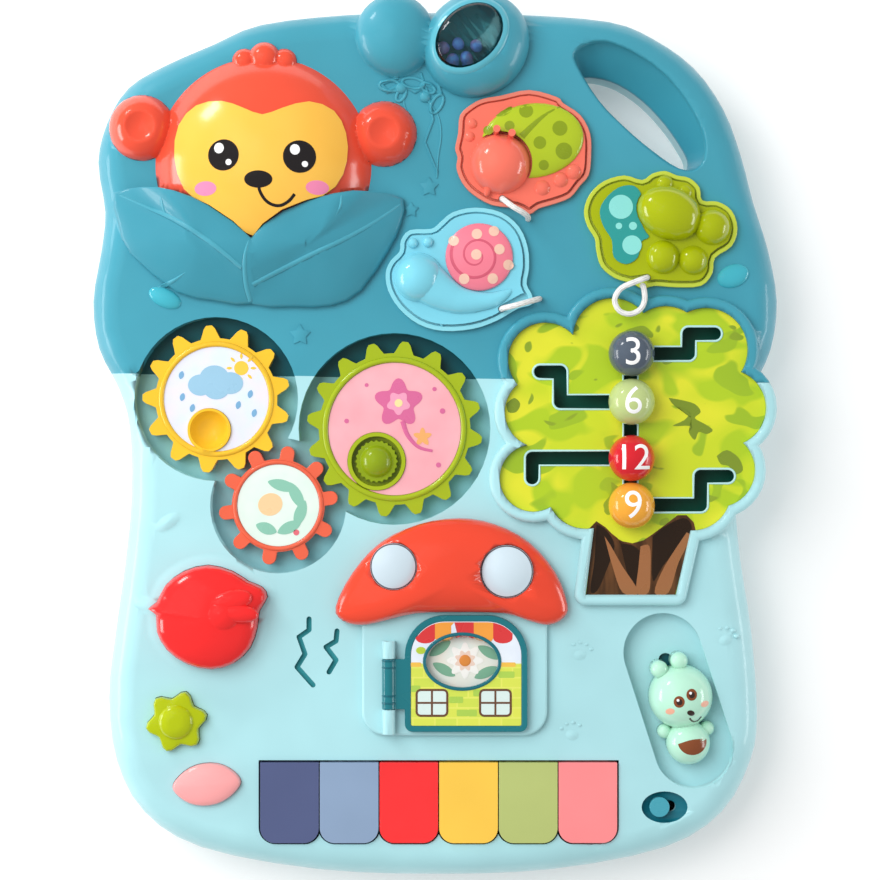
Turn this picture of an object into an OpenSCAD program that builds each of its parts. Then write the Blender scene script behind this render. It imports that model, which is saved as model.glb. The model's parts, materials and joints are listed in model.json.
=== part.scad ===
// Musical activity table: the play panel of a toddler's activity table.
// Millimetres. +Z is up, +Y points to the end with the carrying handle.
// The origin is on the floor, under the middle of the panel.

/* [Case] */
// Height of the flat deck above the floor
deck_z = 44; // [42:1:46]
// Height of the parting line between base tray and covers
part_z = 20; // [18:1:22]
// Wall of the moulded shells
wall = 2.5; // [2:0.1:3]
// Radius of the rounded top edge
edge_r = 15; // [12:0.5:16]
// Height of the rubber feet
foot_h = 2; // [1.5:0.5:3]
// Radius of a rubber foot
foot_r = 9; // [7:0.5:11]
// Clearance between pieces that move past each other
fit = 0.3; // [0.25:0.05:0.4]
// Radial clearance of a running fit
run_fit = 0.06; // [0.04:0.01:0.1]

/* [Underside] */
// Radius of a leg socket
socket_r = 11; // [9:0.5:12]
// Depth of a leg socket
socket_depth = 20; // [16:1:22]
// Length of the battery compartment
battery_l = 66; // [62:1:70]
// Width of the battery compartment
battery_w = 52; // [48:1:56]
// Radius of a case screw's head
screw_head_r = 3; // [2.6:0.1:3.4]

/* [Gears] */
// Teeth of the yellow gear
yellow_teeth = 13; // [13:1:13]
// Teeth of the green gear
green_teeth = 16; // [16:1:16]
// Pegs of the orange gear
orange_teeth = 10; // [10:1:10]
// Pitch diameter per tooth
tooth_module = 5.36; // [5.3:0.02:5.4]
// Thickness of a gear
gear_t = 9; // [8:0.5:10]
// Depth of the gear wells below the deck
well_depth = 12; // [11:0.5:13]
// Radius of a gear's axle
axle_r = 3; // [2.5:0.1:3.5]
// Width of a peg of the orange gear
peg_w = 7; // [6:0.25:7.5]
// Thickness of a printed gear label
label_t = 0.8; // [0.6:0.1:1.2]
// Radius of the spinner knob
spinner_r = 10.8; // [10:0.2:11.2]

/* [Monkey] */
// Radius of the monkey's head
head_r = 54; // [52:0.5:55]
// Height of the monkey's head above the deck
head_h = 26; // [22:1:28]
// Radius of an ear
ear_r = 16.5; // [15:0.5:17.5]
// Thickness of the face panel
face_t = 1.2; // [0.8:0.1:1.6]
// Height of the leaf collar above the deck
leaf_h = 21; // [18:0.5:23]

/* [Balloons] */
// Height of the rattle balloon above the deck
balloon_h = 18; // [16:0.5:19]
// Half length of the rattle window
window_a = 18.5; // [17:0.5:19]
// Half width of the rattle window
window_b = 14; // [13:0.5:14.5]
// Radius of a rattle bead
bead_r = 2.8; // [2.4:0.1:3.2]

/* [Hanging animals] */
// Height of an animal tray's rim
rim_h = 3.4; // [3:0.2:4]
// Thickness of an animal tray's floor
tray_t = 1.4; // [1.2:0.1:1.8]
// Width of an animal tray's rim
rim_w = 2.2; // [1.8:0.1:2.4]
// Thickness of the cords
cord_d = 2.8; // [2.4:0.1:3]

/* [Tree maze] */
// Diameter of a number ball
ball_d = 23; // [21:0.25:23]
// Width of the maze track
track_w = 7.3; // [7:0.1:7.6]
// Thickness of the tree plate
plate_t = 2; // [1.6:0.1:2.4]
// Height of the tree plate's top above the deck
plate_up = 3; // [2.5:0.5:3.5]
// Width of the raised frame around the tree
frame_w = 5.5; // [5:0.25:6]
// Height of the frame above the plate
frame_up = 3; // [2:0.5:3.5]

/* [Mushroom house] */
// Height of the mushroom cap above the deck
cap_h = 17; // [15:0.5:19]
// Height of the house wall above the deck
house_up = 4; // [3:0.5:5]
// Width of the door
door_w = 61; // [59:0.5:62]
// Height of the door
door_h = 58; // [56:0.5:59]
// Thickness of the door
door_t = 4; // [3.5:0.25:4.5]
// Radius of the door's hinge pin
pin_r = 1.5; // [1.2:0.1:1.8]

/* [Buttons] */
// Travel of a button
button_travel = 3; // [2:0.25:3.5]
// Height of the bird button above the deck
bird_h = 18; // [16:0.5:20]
// Outer radius of the star button
star_r = 15.5; // [14.5:0.25:16]
// Half length of the lemon button
lemon_a = 17; // [16:0.25:17.5]

/* [Piano] */
// Number of keys
key_count = 6; // [6:1:6]
// Width of a key
key_w = 29.3; // [28.5:0.1:29.5]
// Pitch of the keys
key_pitch = 29.8; // [29.8:0.05:30]
// Visible length of a key
key_l = 40.3; // [38:0.1:41]
// Height of the keys above the deck
key_up = 2; // [1:0.25:3]
// How far a key turns down, in degrees
key_angle = 4; // [3:0.5:4.5]
// Radius of the rod that the keys turn on
rod_r = 1.5; // [1.3:0.1:1.7]

/* [Bear slider and switch] */
// Depth of the bear's track below the deck
bear_depth = 8; // [7:0.5:9]
// How far the bear slides
bear_travel = 18; // [12:1:20]
// Radius of the bear's head
bear_head_r = 16; // [15:0.25:16.5]
// How far the power switch slides
switch_travel = 5; // [4:0.5:6]

/* [Hidden] */
$fn = 64;
eps = 0.01;

// ---- Levels ----
inner_z = deck_z - wall;
well_z = deck_z - well_depth;
plate_z = deck_z + plate_up - plate_t;
plate_top = deck_z + plate_up;
frame_top = plate_top + frame_up;
tree_floor_z = deck_z - 9.5;
tray_in_z = foot_h + wall;

// ---- Curves ----
// Point at t on the closed smooth curve through the points p, after point i
function curve_point(p, i, t) =
  let (n = len(p), a = p[(i + n - 1) % n], b = p[i], c = p[(i + 1) % n], d = p[(i + 2) % n])
  0.5 * (2 * b + (c - a) * t + (2 * a - 5 * b + 4 * c - d) * t * t + (3 * b - a - 3 * c + d) * t * t * t);
// Closed smooth curve through the points p, with k steps between two of them
function smooth(p, k) = [for (i = [0:len(p) - 1]) for (j = [0:k - 1]) curve_point(p, i, j / k)];
// Counter-clockwise curve c moved inwards by d
function inset(c, d) = [for (i = [0:len(c) - 1])
  let (n = len(c), t = c[(i + 1) % n] - c[(i + n - 1) % n]) c[i] + d * [-t[1], t[0]] / norm(t)];
// Curve c at height z
function ring(c, z) = [for (p = c) [p[0], p[1], z]];
// Rings of a lid with a rounded top edge of radius r
function lid_rings(c, z0, z1, r, step = 15) = concat([ring(c, z0)],
  [for (a = [0:step:90]) ring(inset(c, r * (1 - cos(a))), z1 - r + r * sin(a))]);
// Ellipse with half axes a and b, turned by w degrees
function ellipse(a, b, w = 0, n = 32) = [for (i = [0:n - 1]) let (t = 360 * i / n)
  [a * cos(t) * cos(w) - b * sin(t) * sin(w), a * cos(t) * sin(w) + b * sin(t) * cos(w)]];
// Curve c moved by v
function moved(c, v) = [for (p = c) p + v];
// Curve c scaled about its own centre m so that it grows by about g
function grown(c, m, g) = [for (p = c) let (d = p - m) m + d * (1 + g / norm(d))];

// Solid through a stack of rings, each counter-clockwise, from the bottom up
module loft(rings) {
  n = len(rings[0]);
  m = len(rings);
  polyhedron(points = [for (r = rings) each r], faces = concat(
    [[for (i = [0:n - 1]) i]],
    [for (j = [0:m - 2]) for (i = [0:n - 1])
      [j * n + i, (j + 1) * n + i, (j + 1) * n + (i + 1) % n, j * n + (i + 1) % n]],
    [[for (i = [n - 1:-1:0]) (m - 1) * n + i]]));
}

// Pillow over the star-shaped curve c: a side from z0 to z1, then a crown of height h about m
module pillow(c, m, z0, z1, h, steps = 5) {
  loft(concat([ring(c, z0)], [for (k = [0:steps]) let (a = 84 * k / steps)
    ring([for (p = c) m + (p - m) * cos(a)], z1 + h * sin(a))]));
}

// Flat piece from z0 to z1
module slab(z0, z1) {
  translate([0, 0, z0])
    linear_extrude(z1 - z0)
      children();
}

module at(p, z = 0) {
  translate([p[0], p[1], z])
    children();
}

// Straight track of width w between two points on one horizontal or vertical line
module track(p, q, w) {
  translate([min(p[0], q[0]), min(p[1], q[1])])
    translate(p[1] == q[1] ? [0, -w / 2] : [-w / 2, 0])
      square(p[1] == q[1] ? [abs(p[0] - q[0]), w] : [w, abs(p[1] - q[1])]);
  for (e = [p, q])
    translate(e)
      circle(d = w);
}

// Rectangle with round corners, from corner p to corner q
module round_box(p, q, r) {
  translate([p[0] + r, p[1]])
    square([q[0] - p[0] - 2 * r, q[1] - p[1]]);
  translate([p[0], p[1] + r])
    square([q[0] - p[0], q[1] - p[1] - 2 * r]);
  for (x = [p[0] + r, q[0] - r], y = [p[1] + r, q[1] - r])
    translate([x, y])
      circle(r);
}

// Round-edged post, used under hull()
module post(r, z0, z1, e) {
  translate([0, 0, z0])
    cylinder(r = r, h = z1 - z0 - e, $fn = 32);
  translate([0, 0, z1 - e])
    intersection() {
      rotate_extrude($fn = 32)
        translate([r - e, 0])
          intersection() {
            circle(e, $fn = 16);
            square(e);
          }
      cylinder(r = r, h = e, $fn = 32);
    }
  translate([0, 0, z1 - e])
    cylinder(r = r - e, h = e, $fn = 32);
}

// Direction of the route p at its point i
function heading(p, i) = let (d = p[min(i + 1, len(p) - 1)] - p[max(i - 1, 0)]) d / norm(d);
// Side direction u carried along the route p without twist, from its point i on
function carried(p, i, u) = i == len(p) ? [] :
  let (t = heading(p, i), w = u - (u * t) * t) concat([w / norm(w)], carried(p, i + 1, w / norm(w)));

// Tube of diameter d along the points p, as one solid with n sides
module tube(p, d, n = 8) {
  sides = carried(p, 0, [1, 0, 0]);
  loft([for (i = [0:len(p) - 1]) let (u = sides[i], v = cross(heading(p, i), u))
    [for (k = [0:n - 1]) p[i] + d / 2 * (cos(360 * k / n) * u + sin(360 * k / n) * v)]]);
}

// Open smooth curve through the points p, with k steps between two of them
function open_point(p, i, t) =
  let (n = len(p), a = p[max(i - 1, 0)], b = p[i], c = p[i + 1], d = p[min(i + 2, n - 1)])
  0.5 * (2 * b + (c - a) * t + (2 * a - 5 * b + 4 * c - d) * t * t + (3 * b - a - 3 * c + d) * t * t * t);
function open_curve(p, k) = concat(
  [for (i = [0:len(p) - 2]) for (j = [0:k - 1]) open_point(p, i, j / k)], [p[len(p) - 1]]);

// ---- Layout on the deck ----
// Middle track of the tree maze, whose place the tree and the panel's flank beside it follow
track_x = 97.5;
// Left and right end of the piano; the pieces and the flank beside it follow its right end
piano_x = -87.3;
piano_end = piano_x + key_count * key_pitch;
// Outline of the panel, counter-clockwise from the top
case_curve = smooth([
  [0, 214], [-45, 213], [-88, 208], [-112, 198], [-136, 187.5], [-155, 176], [-166, 158],
  [-170.5, 138], [-167, 113], [-169, 93], [-173, 68], [-170, 44], [-160, 24], [-154.5, 4],
  [-153.5, -30], [-157, -66], [-162, -102], [-165, -132], [-161, -164], [-147, -190],
  [-118, -208], [-60, -219], [0, -221.5], [60, -219], [piano_end + 24.5, -208],
  [piano_end + 53.5, -190], [piano_end + 68, -164], [piano_end + 71.5, -140],
  [piano_end + 68.5, -98], [track_x + 57, -62], [track_x + 54.5, -30], [track_x + 57, 4],
  [track_x + 63.5, 24], [track_x + 72.5, 44], [track_x + 75.5, 68], [track_x + 71, 94],
  [track_x + 63.5, 118], [155, 141], [146, 165], [131, 186], [110, 201], [88, 209.5], [45, 213]], 3);
// Seam between the two covers, as its heights at the left and right edge
seam = [32, 26];
seam_reach = 200;
// Carrying handle's opening at the deck, and where its sloping wall ends, point by point
handle_curve = smooth([
  [82, 168], [95, 154.5], [108.5, 143], [122, 134], [131, 134], [135, 142], [133, 154],
  [125, 169], [112, 183.5], [96, 193.5], [82, 197.5], [71, 193], [71, 186]], 3);
handle_low = smooth([
  [80.5, 170], [94, 157.5], [108, 146], [121, 137], [127.5, 135], [128.5, 140.5], [124, 149],
  [116.5, 159.5], [106, 170.5], [93.5, 179], [82, 182.5], [74.5, 182], [74, 178]], 3);
handle_wall = 3;
handle_slope = 6;

// Gears: the orange gear meshes with both others
function pitch_r(teeth) = teeth * tooth_module / 2;
yellow_at = [-109.5, 18.5];
green_at = [-20.25, 3.5];
yellow_to_green = green_at - yellow_at;
gear_dir = yellow_to_green / norm(yellow_to_green);
orange_yellow = pitch_r(orange_teeth) + pitch_r(yellow_teeth);
orange_green = pitch_r(orange_teeth) + pitch_r(green_teeth);
orange_along = (pow(orange_yellow, 2) - pow(orange_green, 2) + pow(norm(yellow_to_green), 2))
  / (2 * norm(yellow_to_green));
orange_aside = sqrt(pow(orange_yellow, 2) - pow(orange_along, 2));
orange_at = yellow_at + orange_along * gear_dir + orange_aside * [gear_dir[1], -gear_dir[0]];
yellow_tip = 37;
yellow_root = 30.5;
green_tip = 44;
green_root = 38;
orange_tip = 30;
orange_root = 23.3;
well_gap = 4;
green_hub_at = green_at + [-9, -16.2];
spinner_pocket_r = 12.5;
yellow_dimple_at = yellow_at + [-3.5, -15.5];
dimple_r = 10.8;

// Monkey and leaves
head_at = [-85.75, 135.5];
head_sphere_r = (pow(head_r, 2) + pow(head_h, 2)) / (2 * head_h);
ears_at = [[-146.5, 154], [-25.5, 151]];
tuft_at = head_at + [0.5, 53.5];
left_leaf = smooth([
  [-160, 121], [-158, 106], [-152, 91], [-129, 72], [-110, 67.5], [-90.4, 66], [-89.9, 82],
  [-90, 97], [-111, 113.5], [-129, 121], [-145, 123.5]], 2);
right_leaf = smooth([
  [-91.5, 66], [-71, 64.5], [-52, 65], [-37, 72.5], [-23, 93], [-17, 106], [-16, 118.5],
  [-32, 121], [-50, 119.5], [-75, 111], [-91, 97], [-91.5, 82]], 2);
left_leaf_mid = [-116, 97];
right_leaf_mid = [-58, 97];
leaf_crown = 3;
leaf_low = 3;
face_curve = smooth([
  [-88, 98], [-99, 104.5], [-113, 113.5], [-124, 122], [-129, 138], [-127, 154], [-118, 163.5],
  [-105, 165], [-94, 161], [-84.5, 157.5], [-75, 161], [-62, 165], [-50, 161], [-44, 150],
  [-43.5, 136], [-49, 123], [-63, 113.5], [-77, 106]], 2);

// Balloons
left_balloon_at = [-20, 200];
right_balloon_at = [20.5, 195.5];
window_at = [17, 198];
window_turn = 42;
balloon_low_z = deck_z - 14;

// Hanging animals: outlines of their trays
ladybug_curve = smooth([
  [11.2, 139], [10.7, 133.5], [13.4, 126.5], [18.8, 120.5], [28.5, 115.1], [40.5, 113.5], [47, 110.5],
  [52, 113.5], [59.5, 115.7], [67.5, 118.9], [72.5, 124.9], [76.8, 130.3], [77.9, 140],
  [77.4, 150.9], [72.5, 160.1], [64, 166], [61, 169], [47, 172.6], [32.9, 169.8], [24.2, 168.3],
  [18.3, 165.5], [12.5, 160.1], [11.5, 150.9], [10, 143.5]], 3);
snail_curve = smooth([
  [20.2, 113.9], [8.7, 111.5], [2, 106], [-2, 103.3], [-12.5, 102.7], [-17, 97.6], [-17.7, 92.1],
  [-22.2, 87.3], [-24.6, 81.2], [-23.4, 72.7], [-18, 63.7], [-8.3, 55.8], [3.9, 52.4],
  [19, 53.4], [31.1, 57.6], [41.4, 63.5], [48.1, 65.5], [48.4, 70.3], [45.7, 75.8],
  [46.9, 83.6], [46.3, 93.9], [42, 104.2], [33, 111.5]], 3);
butterfly_curve = smooth([
  [74.3, 112.4], [75.9, 104.8], [79.7, 98.4], [80.4, 92.5], [82.9, 84.4], [89.9, 78.6], [98.2, 76.1],
  [103.3, 73.5], [109.7, 74.8], [119.9, 74.1], [132.7, 74.8], [138.4, 81.2], [139.7, 88.8],
  [148, 94.6], [150.9, 103.5], [148, 112.4], [141, 116.9], [133.3, 117.5], [132, 123.9],
  [126.9, 128.7], [120.6, 130], [114.8, 132.2], [108.4, 130.9], [103.3, 127.7],
  [94.4, 130], [84.2, 127.1], [77.2, 120.7]], 3);
// Cords: where each leaves its animal, and the route of its middle line
ladybug_cord_at = [33.5, 118];
ladybug_route = [
  [33.5, 118, 46], [33.5, 118, 51.5], [34.5, 116.5, 56.5], [38, 113.5, 59], [42.5, 111, 57.5],
  [45.5, 109.5, 53], [46.5, 108.6, 48], [46.5, 108.4, 44.1]];
snail_cord_at = [33.3, 63.2];
snail_route = [
  [33.3, 63.2, 46], [33.3, 63.2, 51], [34.5, 63.4, 55.5], [38.5, 64.2, 58], [43.5, 65.6, 57.5],
  [48, 67, 54], [51.5, 68.2, 49.5], [52.3, 68.6, 44.1]];
butterfly_cord_at = [105.5, 78.8];
butterfly_route = [
  [105.5, 78.8, 46], [105.5, 78.8, 51], [103.5, 78, 55], [98.5, 76, 56.5], [92, 73, 56],
  [89, 67.5, 54.5], [91.5, 62, 53.7], [97, 60.5, 53.4], [102, 63, 53.2], [104, 67.5, 53.2],
  [103.8, 72, 53], [103.4, 74.6, 51], [103.4, 74.8, 47.5]];
animal_gap = 1;
animal_z = deck_z + tray_t + fit;
animal_base_z = deck_z + rim_h + 1.6;
ladybug_head_at = [32.5, 135.5];
ladybug_wing_at = [48.5, 147];
snail_head_at = [-8.25, 79];
snail_shell_at = [22, 89];
butterfly_egg_at = [116.5, 111];

// Tree maze, set out from its middle track: round lobes of foliage as [x, y, radius], and the trunk
tree_lobes = [for (l = [
  [-42.5, 38, 18.5], [-9, 49, 19.7], [17.5, 45.5, 19.2], [37.5, 43, 20.8], [48.5, 14, 19],
  [43.5, -17, 18.5], [31, -28, 19], [-22.5, -27, 19.2], [-48.5, -21, 16.7], [-45, 12, 17.7]])
  l + [track_x, 0, 0]];
trunk_top = [track_x - 15.5, track_x + 35, -24];
trunk_low = [track_x - 22.5, track_x + 22.5, -79];
track_y = [45, -40];
ball_rows = [41, 17, -11, -34.5];
ball_reach = [29, -35, -49, 35];
branch_up = [10, 15, -10, 14.5];
branch_out = [13, -10, 0, 13.5];
ball_sink = 5;
ball_stem_r = track_w / 2 - fit;
ball_foot_r = 5.5;
// Width of the ledge that carries the tree plate
plate_ledge = 1.5;

// Mushroom house
cap_curve = smooth([
  [12, -41], [-8, -44], [-27, -53], [-41, -68], [-49.5, -85], [-46, -92], [-37, -94.2], [-27, -92.5],
  [-10, -88.5], [12.5, -87.8], [35, -88.5], [48, -92.5], [57, -94], [64, -90.5], [66, -84], [60, -68],
  [47, -53], [30, -44]], 3);
cap_mid = [10, -72];
cap_spots_at = [[-20.5, -64.5, 11.5], [35.5, -67, 13]];
house_x = [-36.5, 56];
house_y = [-149.5, -84];
door_at = [-15, -147];
hinge_x = -23;
hinge_r = 3.3;
house_z = deck_z + house_up;
picture_t = 0.6;
door_z = house_z + fit;
hinge_z = door_z + hinge_r;
knuckles = [[-148, -136], [-110.5, -102]];
door_knuckle_gap = 0.3;
door_window_at = [13.5, -112];
door_window_r = [18, 13];

// Buttons
bird_at = [-113.2, -90.5];
star_at = [-129, -142.5];
lemon_at = [-114, -174];
bird_curve = smooth([
  [29.5, 10], [27, 15], [20, 18], [12, 23], [0, 26], [-12, 23], [-21, 16], [-25, 8], [-29.5, 4.5],
  [-25.5, 1.5], [-25, -7], [-20, -16], [-10, -23], [2, -25.5], [13, -22.5], [21, -15], [24.5, -5],
  [25.5, 3]], 2);
lemon_curve = [for (t = [0:12:348])
  let (s = 0.32 * pow(abs(cos(t)), 3))
  [lemon_a * cos(t), 10.5 * sin(t) * (1 - s) + 1.2 * cos(t)]];
star_curve = [for (t = [0:10:350]) (star_r - 2 + 2 * cos(6 * t)) * [cos(t + 12), sin(t + 12)]];
button_flange = 2.2;
bird_boss = 8;
bird_boss_up = 3;

// Piano
piano_y = -163;
key_depth = 10;
rod_at = [-157, deck_z - 9];
key_tail_l = 10;
piano_gap = 0.9;
key_peg_y = -188;
key_drop = (rod_at[0] - key_peg_y) * sin(key_angle);

// Bear slider and power switch
bear_track = [[piano_end + 38, -156.5], [piano_end + 22.5, -108.3]];
bear_track_r = 19.8;
bear_dir = (bear_track[1] - bear_track[0]) / norm(bear_track[1] - bear_track[0]);
bear_at = [piano_end + 35.5, -147];
bear_head_at = [piano_end + 31.5, -130.3];
bear_slot = [bear_at - 2 * bear_dir, bear_at + (bear_travel + 18) * bear_dir];
bear_slot_w = 7;
switch_at = [piano_end + 23.3, -185.6];
switch_knob_r = 5;
switch_depth = 4;

// ---- Outlines used by several pieces ----
module wells_2d(grow = 0) {
  translate(yellow_at)
    circle(yellow_tip + well_gap + grow);
  translate(green_at)
    circle(green_tip + well_gap + grow);
  translate(orange_at)
    circle(orange_tip + well_gap + grow);
}

module key_2d(i, grow = 0) {
  x = piano_x + i * key_pitch;
  y = piano_y - key_l;
  translate([x - grow, y + key_corner])
    square([key_w + 2 * grow, key_l - key_corner + grow]);
  translate([x + key_corner, y - grow])
    square([key_w - 2 * key_corner, key_l + 2 * grow]);
  for (c = [x + key_corner, x + key_w - key_corner])
    translate([c, y + key_corner])
      circle(key_corner + grow);
}

module trunk_2d(grow) {
  polygon([
    [trunk_low[0] - grow, trunk_low[2] - grow], [trunk_low[1] + grow, trunk_low[2] - grow],
    [trunk_top[1] + grow, trunk_top[2]], [trunk_top[0] - grow, trunk_top[2]]]);
}

module tree_2d(grow = 0) {
  for (l = tree_lobes)
    translate([l[0], l[1]])
      circle(l[2] + grow);
  polygon([for (l = tree_lobes) [l[0], l[1]]]);
  trunk_2d(grow);
}

module case_outer() {
  loft(lid_rings(case_curve, part_z, deck_z, edge_r));
}

module bear_track_2d(grow = 0) {
  hull()
    for (p = bear_track)
      translate(p)
        circle(bear_track_r + grow);
}

module house_post() {
  hull()
    for (x = [house_x[0] + 12, house_x[1] - 12], y = [house_y[0] + 12, house_y[1]])
      at([x, y])
        post(12, deck_z - eps, house_z, 1.5);
}

// ---- The two covers, made as one form and parted at the seam ----
module tree_frame() {
  for (l = tree_lobes)
    at([l[0], l[1]])
      post(l[2] + frame_w, tree_floor_z - wall, frame_top, 2.5);
  hull()
    for (x = [trunk_low[0], trunk_low[1]])
      at([x, trunk_low[2]])
        post(frame_w, tree_floor_z - wall, frame_top, 2.5);
  hull() {
    for (x = [trunk_low[0], trunk_low[1]])
      at([x, trunk_low[2]])
        post(frame_w, tree_floor_z - wall, frame_top, 2.5);
    for (x = [trunk_top[0], trunk_top[1]])
      at([x, trunk_top[2]])
        post(frame_w, tree_floor_z - wall, frame_top, 2.5);
  }
  slab(tree_floor_z - wall, frame_top)
    polygon([for (l = tree_lobes) [l[0], l[1]]]);
}

module balloons() {
  pillow(moved(ellipse(20, 21, 0, 36), left_balloon_at), left_balloon_at,
    balloon_low_z, deck_z, balloon_h - 5);
  pillow(moved(ellipse(27.5, 25.5, 40, 40), right_balloon_at), right_balloon_at,
    balloon_low_z, deck_z + 2, balloon_h - 2);
}

// Raised string through the points p
module string(p, r = 1.1) {
  for (i = [0:len(p) - 2])
    hull()
      for (q = [p[i], p[i + 1]])
        at(q, deck_z)
          sphere(r, $fn = 8);
}

module star_relief(p, r) {
  at(p, deck_z - eps)
    linear_extrude(0.8)
      polygon([for (i = [0:9]) (i % 2 == 0 ? r : r * 0.55) * [cos(36 * i + 18), sin(36 * i + 18)]]);
}

module pebble(p, a, b, turn, h, n = 16) {
  pillow(moved(ellipse(a, b, turn, n), p), p, deck_z - 1, deck_z - 0.5, h, 2);
}

module paw(p, turn) {
  pebble(p, 4, 3.2, turn, 1.3);
  for (w = [-48, -16, 16, 48])
    pebble(p + 6.2 * [sin(turn - w), cos(turn - w)], 1.5, 1.2, 0, 1.1, 7);
}

// Seats that carry the pieces near the rounded edge
module edge_seats() {
  for (p = ears_at)
    at(p, part_z + 8)
      cylinder(r = ear_r, h = inner_z - part_z - 8);
  for (p = ears_at)
    at(p, deck_z - 14)
      cylinder(r = ear_r, h = 14);
  slab(deck_z - 8, deck_z)
    polygon(left_leaf);
}

module button_hole(c, p) {
  at(p, inner_z - 10)
    linear_extrude(30)
      polygon(grown(c, [0, 0], fit));
}

module cover_form() {
  $fn = 48;
  difference() {
    union() {
      difference() {
        case_outer();
        loft(lid_rings(inset(case_curve, wall), part_z - 1, inner_z, edge_r - wall, 30));
      }
      intersection() {
        case_outer();
        union() {
          slab(well_z - wall, deck_z)
            wells_2d(wall);
          slab(deck_z - bear_depth - wall, deck_z)
            bear_track_2d(wall);
          slab(part_z, deck_z - 2)
            polygon(inset(handle_curve, -handle_wall));
          for (p = screws_at)
            at(p, part_z)
              cylinder(r = screw_post_r, h = inner_z - part_z, $fn = 24);
          at(switch_at, deck_z - switch_depth - wall)
            linear_extrude(switch_depth + wall)
              polygon(ellipse(14, 10.5));
        }
      }
      tree_frame();
      edge_seats();
      balloons();
      house_post();
      at(bird_at)
        pillow(grown(bird_curve, [0, 0], bird_boss), [1.3, 0.7], deck_z - 1, deck_z - 0.5, bird_boss_up, 3);
    }
    for (p = screws_at)
      at(p, part_z - 1)
        cylinder(r = screw_r + 0.15, h = screw_bite + 2, $fn = 16);
    slab(well_z, deck_z + 20)
      wells_2d();
    slab(tree_floor_z, plate_z) {
      tree_2d(-plate_ledge);
      for (i = [0:len(ball_rows) - 1])
        translate([track_x + ball_reach[i], ball_rows[i]])
          circle(ball_foot_r + fit);
    }
    slab(plate_z, frame_top + 5)
      tree_2d(fit / 2);
    loft([ring(handle_low, part_z - 1), ring(handle_low, part_z + handle_slope),
      ring(handle_curve, deck_z - handle_slope), ring(handle_curve, deck_z - 1.5),
      ring(inset(handle_curve, -1.5), deck_z), ring(inset(handle_curve, -1.5), deck_z + 5)]);
    slab(deck_z - bear_depth, deck_z + 5)
      bear_track_2d();
    hull()
      for (p = bear_slot)
        at(p, part_z)
          cylinder(d = bear_slot_w, h = deck_z, $fn = 24);
    at(switch_at, deck_z - switch_depth)
      linear_extrude(20)
        polygon(ellipse(11.5, 7.9));
    hull()
      for (x = [-switch_travel / 2 - 0.5, switch_travel / 2 + 0.5])
        at(switch_at + [x, 0], part_z)
          cylinder(r = 2.5 + fit, h = deck_z, $fn = 24);
    at(window_at, deck_z + 1)
      linear_extrude(40)
        polygon(ellipse(window_a, window_b, window_turn));
    button_hole(bird_curve, bird_at);
    button_hole(star_curve, star_at);
    button_hole(lemon_curve, lemon_at);
    slab(inner_z - 1, deck_z + 10)
      for (i = [0:key_count - 1])
        key_2d(i, piano_gap);
    slab(house_z - 2, house_z + 5)
      round_box(door_window_at - [23, 20], door_window_at + [23, 20], 6);
  }
}

module above_seam() {
  polygon([[-seam_reach, seam[0]], [seam_reach, seam[1]], [seam_reach, 300], [-seam_reach, 300]]);
}

module below_seam() {
  polygon([[-seam_reach, seam[0]], [-seam_reach, -300], [seam_reach, -300], [seam_reach, seam[1]]]);
}

module upper_cover() color("#48A4B8") {
  intersection() {
    cover_form();
    slab(0, 100)
      above_seam();
  }
  star_relief([-67.5, 50.5], 5.5);
  star_relief([-3, 124.5], 5);
  star_relief([-12, 113], 4);
  pebble([-135, 69], 8.5, 4.5, -25, 2.4);
  pebble([149, 80], 8, 5.5, 20, 2.4);
  string([[-7, 181], [-3, 170], [-1, 158], [-5, 147], [1, 132]], 0.8);
  string([[-19, 179], [-27, 176], [-24, 172], [-17, 176], [-10, 172], [-4, 176], [3, 171], [1, 178]]);
}

module squiggle(p) {
  for (i = [0:len(p) - 2])
    hull()
      for (q = [p[i], p[i + 1]])
        at(q, inner_z - 1)
          cylinder(d = 2.6, h = 10, $fn = 10);
}

module cover_knuckles() {
  for (k = knuckles)
    difference() {
      hull() {
        translate([hinge_x, k[0], hinge_z])
          rotate([-90, 0, 0])
            cylinder(r = hinge_r, h = k[1] - k[0], $fn = 24);
        translate([hinge_x - hinge_r, k[0], house_z - 1])
          cube([2 * hinge_r, k[1] - k[0], 1]);
      }
      translate([hinge_x, k[0] - 1, hinge_z])
        rotate([-90, 0, 0])
          cylinder(r = pin_r + 0.1, h = k[1] - k[0] + 2, $fn = 24);
    }
}

module lower_cover() color("#B0E3E9") {
  difference() {
    intersection() {
      cover_form();
      slab(0, 100)
        below_seam();
    }
    squiggle([[-63, -91.5], [-63, -97], [-68, -100.5], [-65, -109], [-69, -115.5], [-61, -124.5]]);
    squiggle([[-49, -97.5], [-49.5, -102.5], [-54.5, -105.5], [-49.5, -112], [-53, -118]]);
  }
  cover_knuckles();
  pebble([-133.5, -43], 8.5, 4.2, 35, 1.8);
  paw([72.5, -109.5], 15);
  paw([68.5, -149.5], -10);
  paw([145, -102], 25);
}

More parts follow.
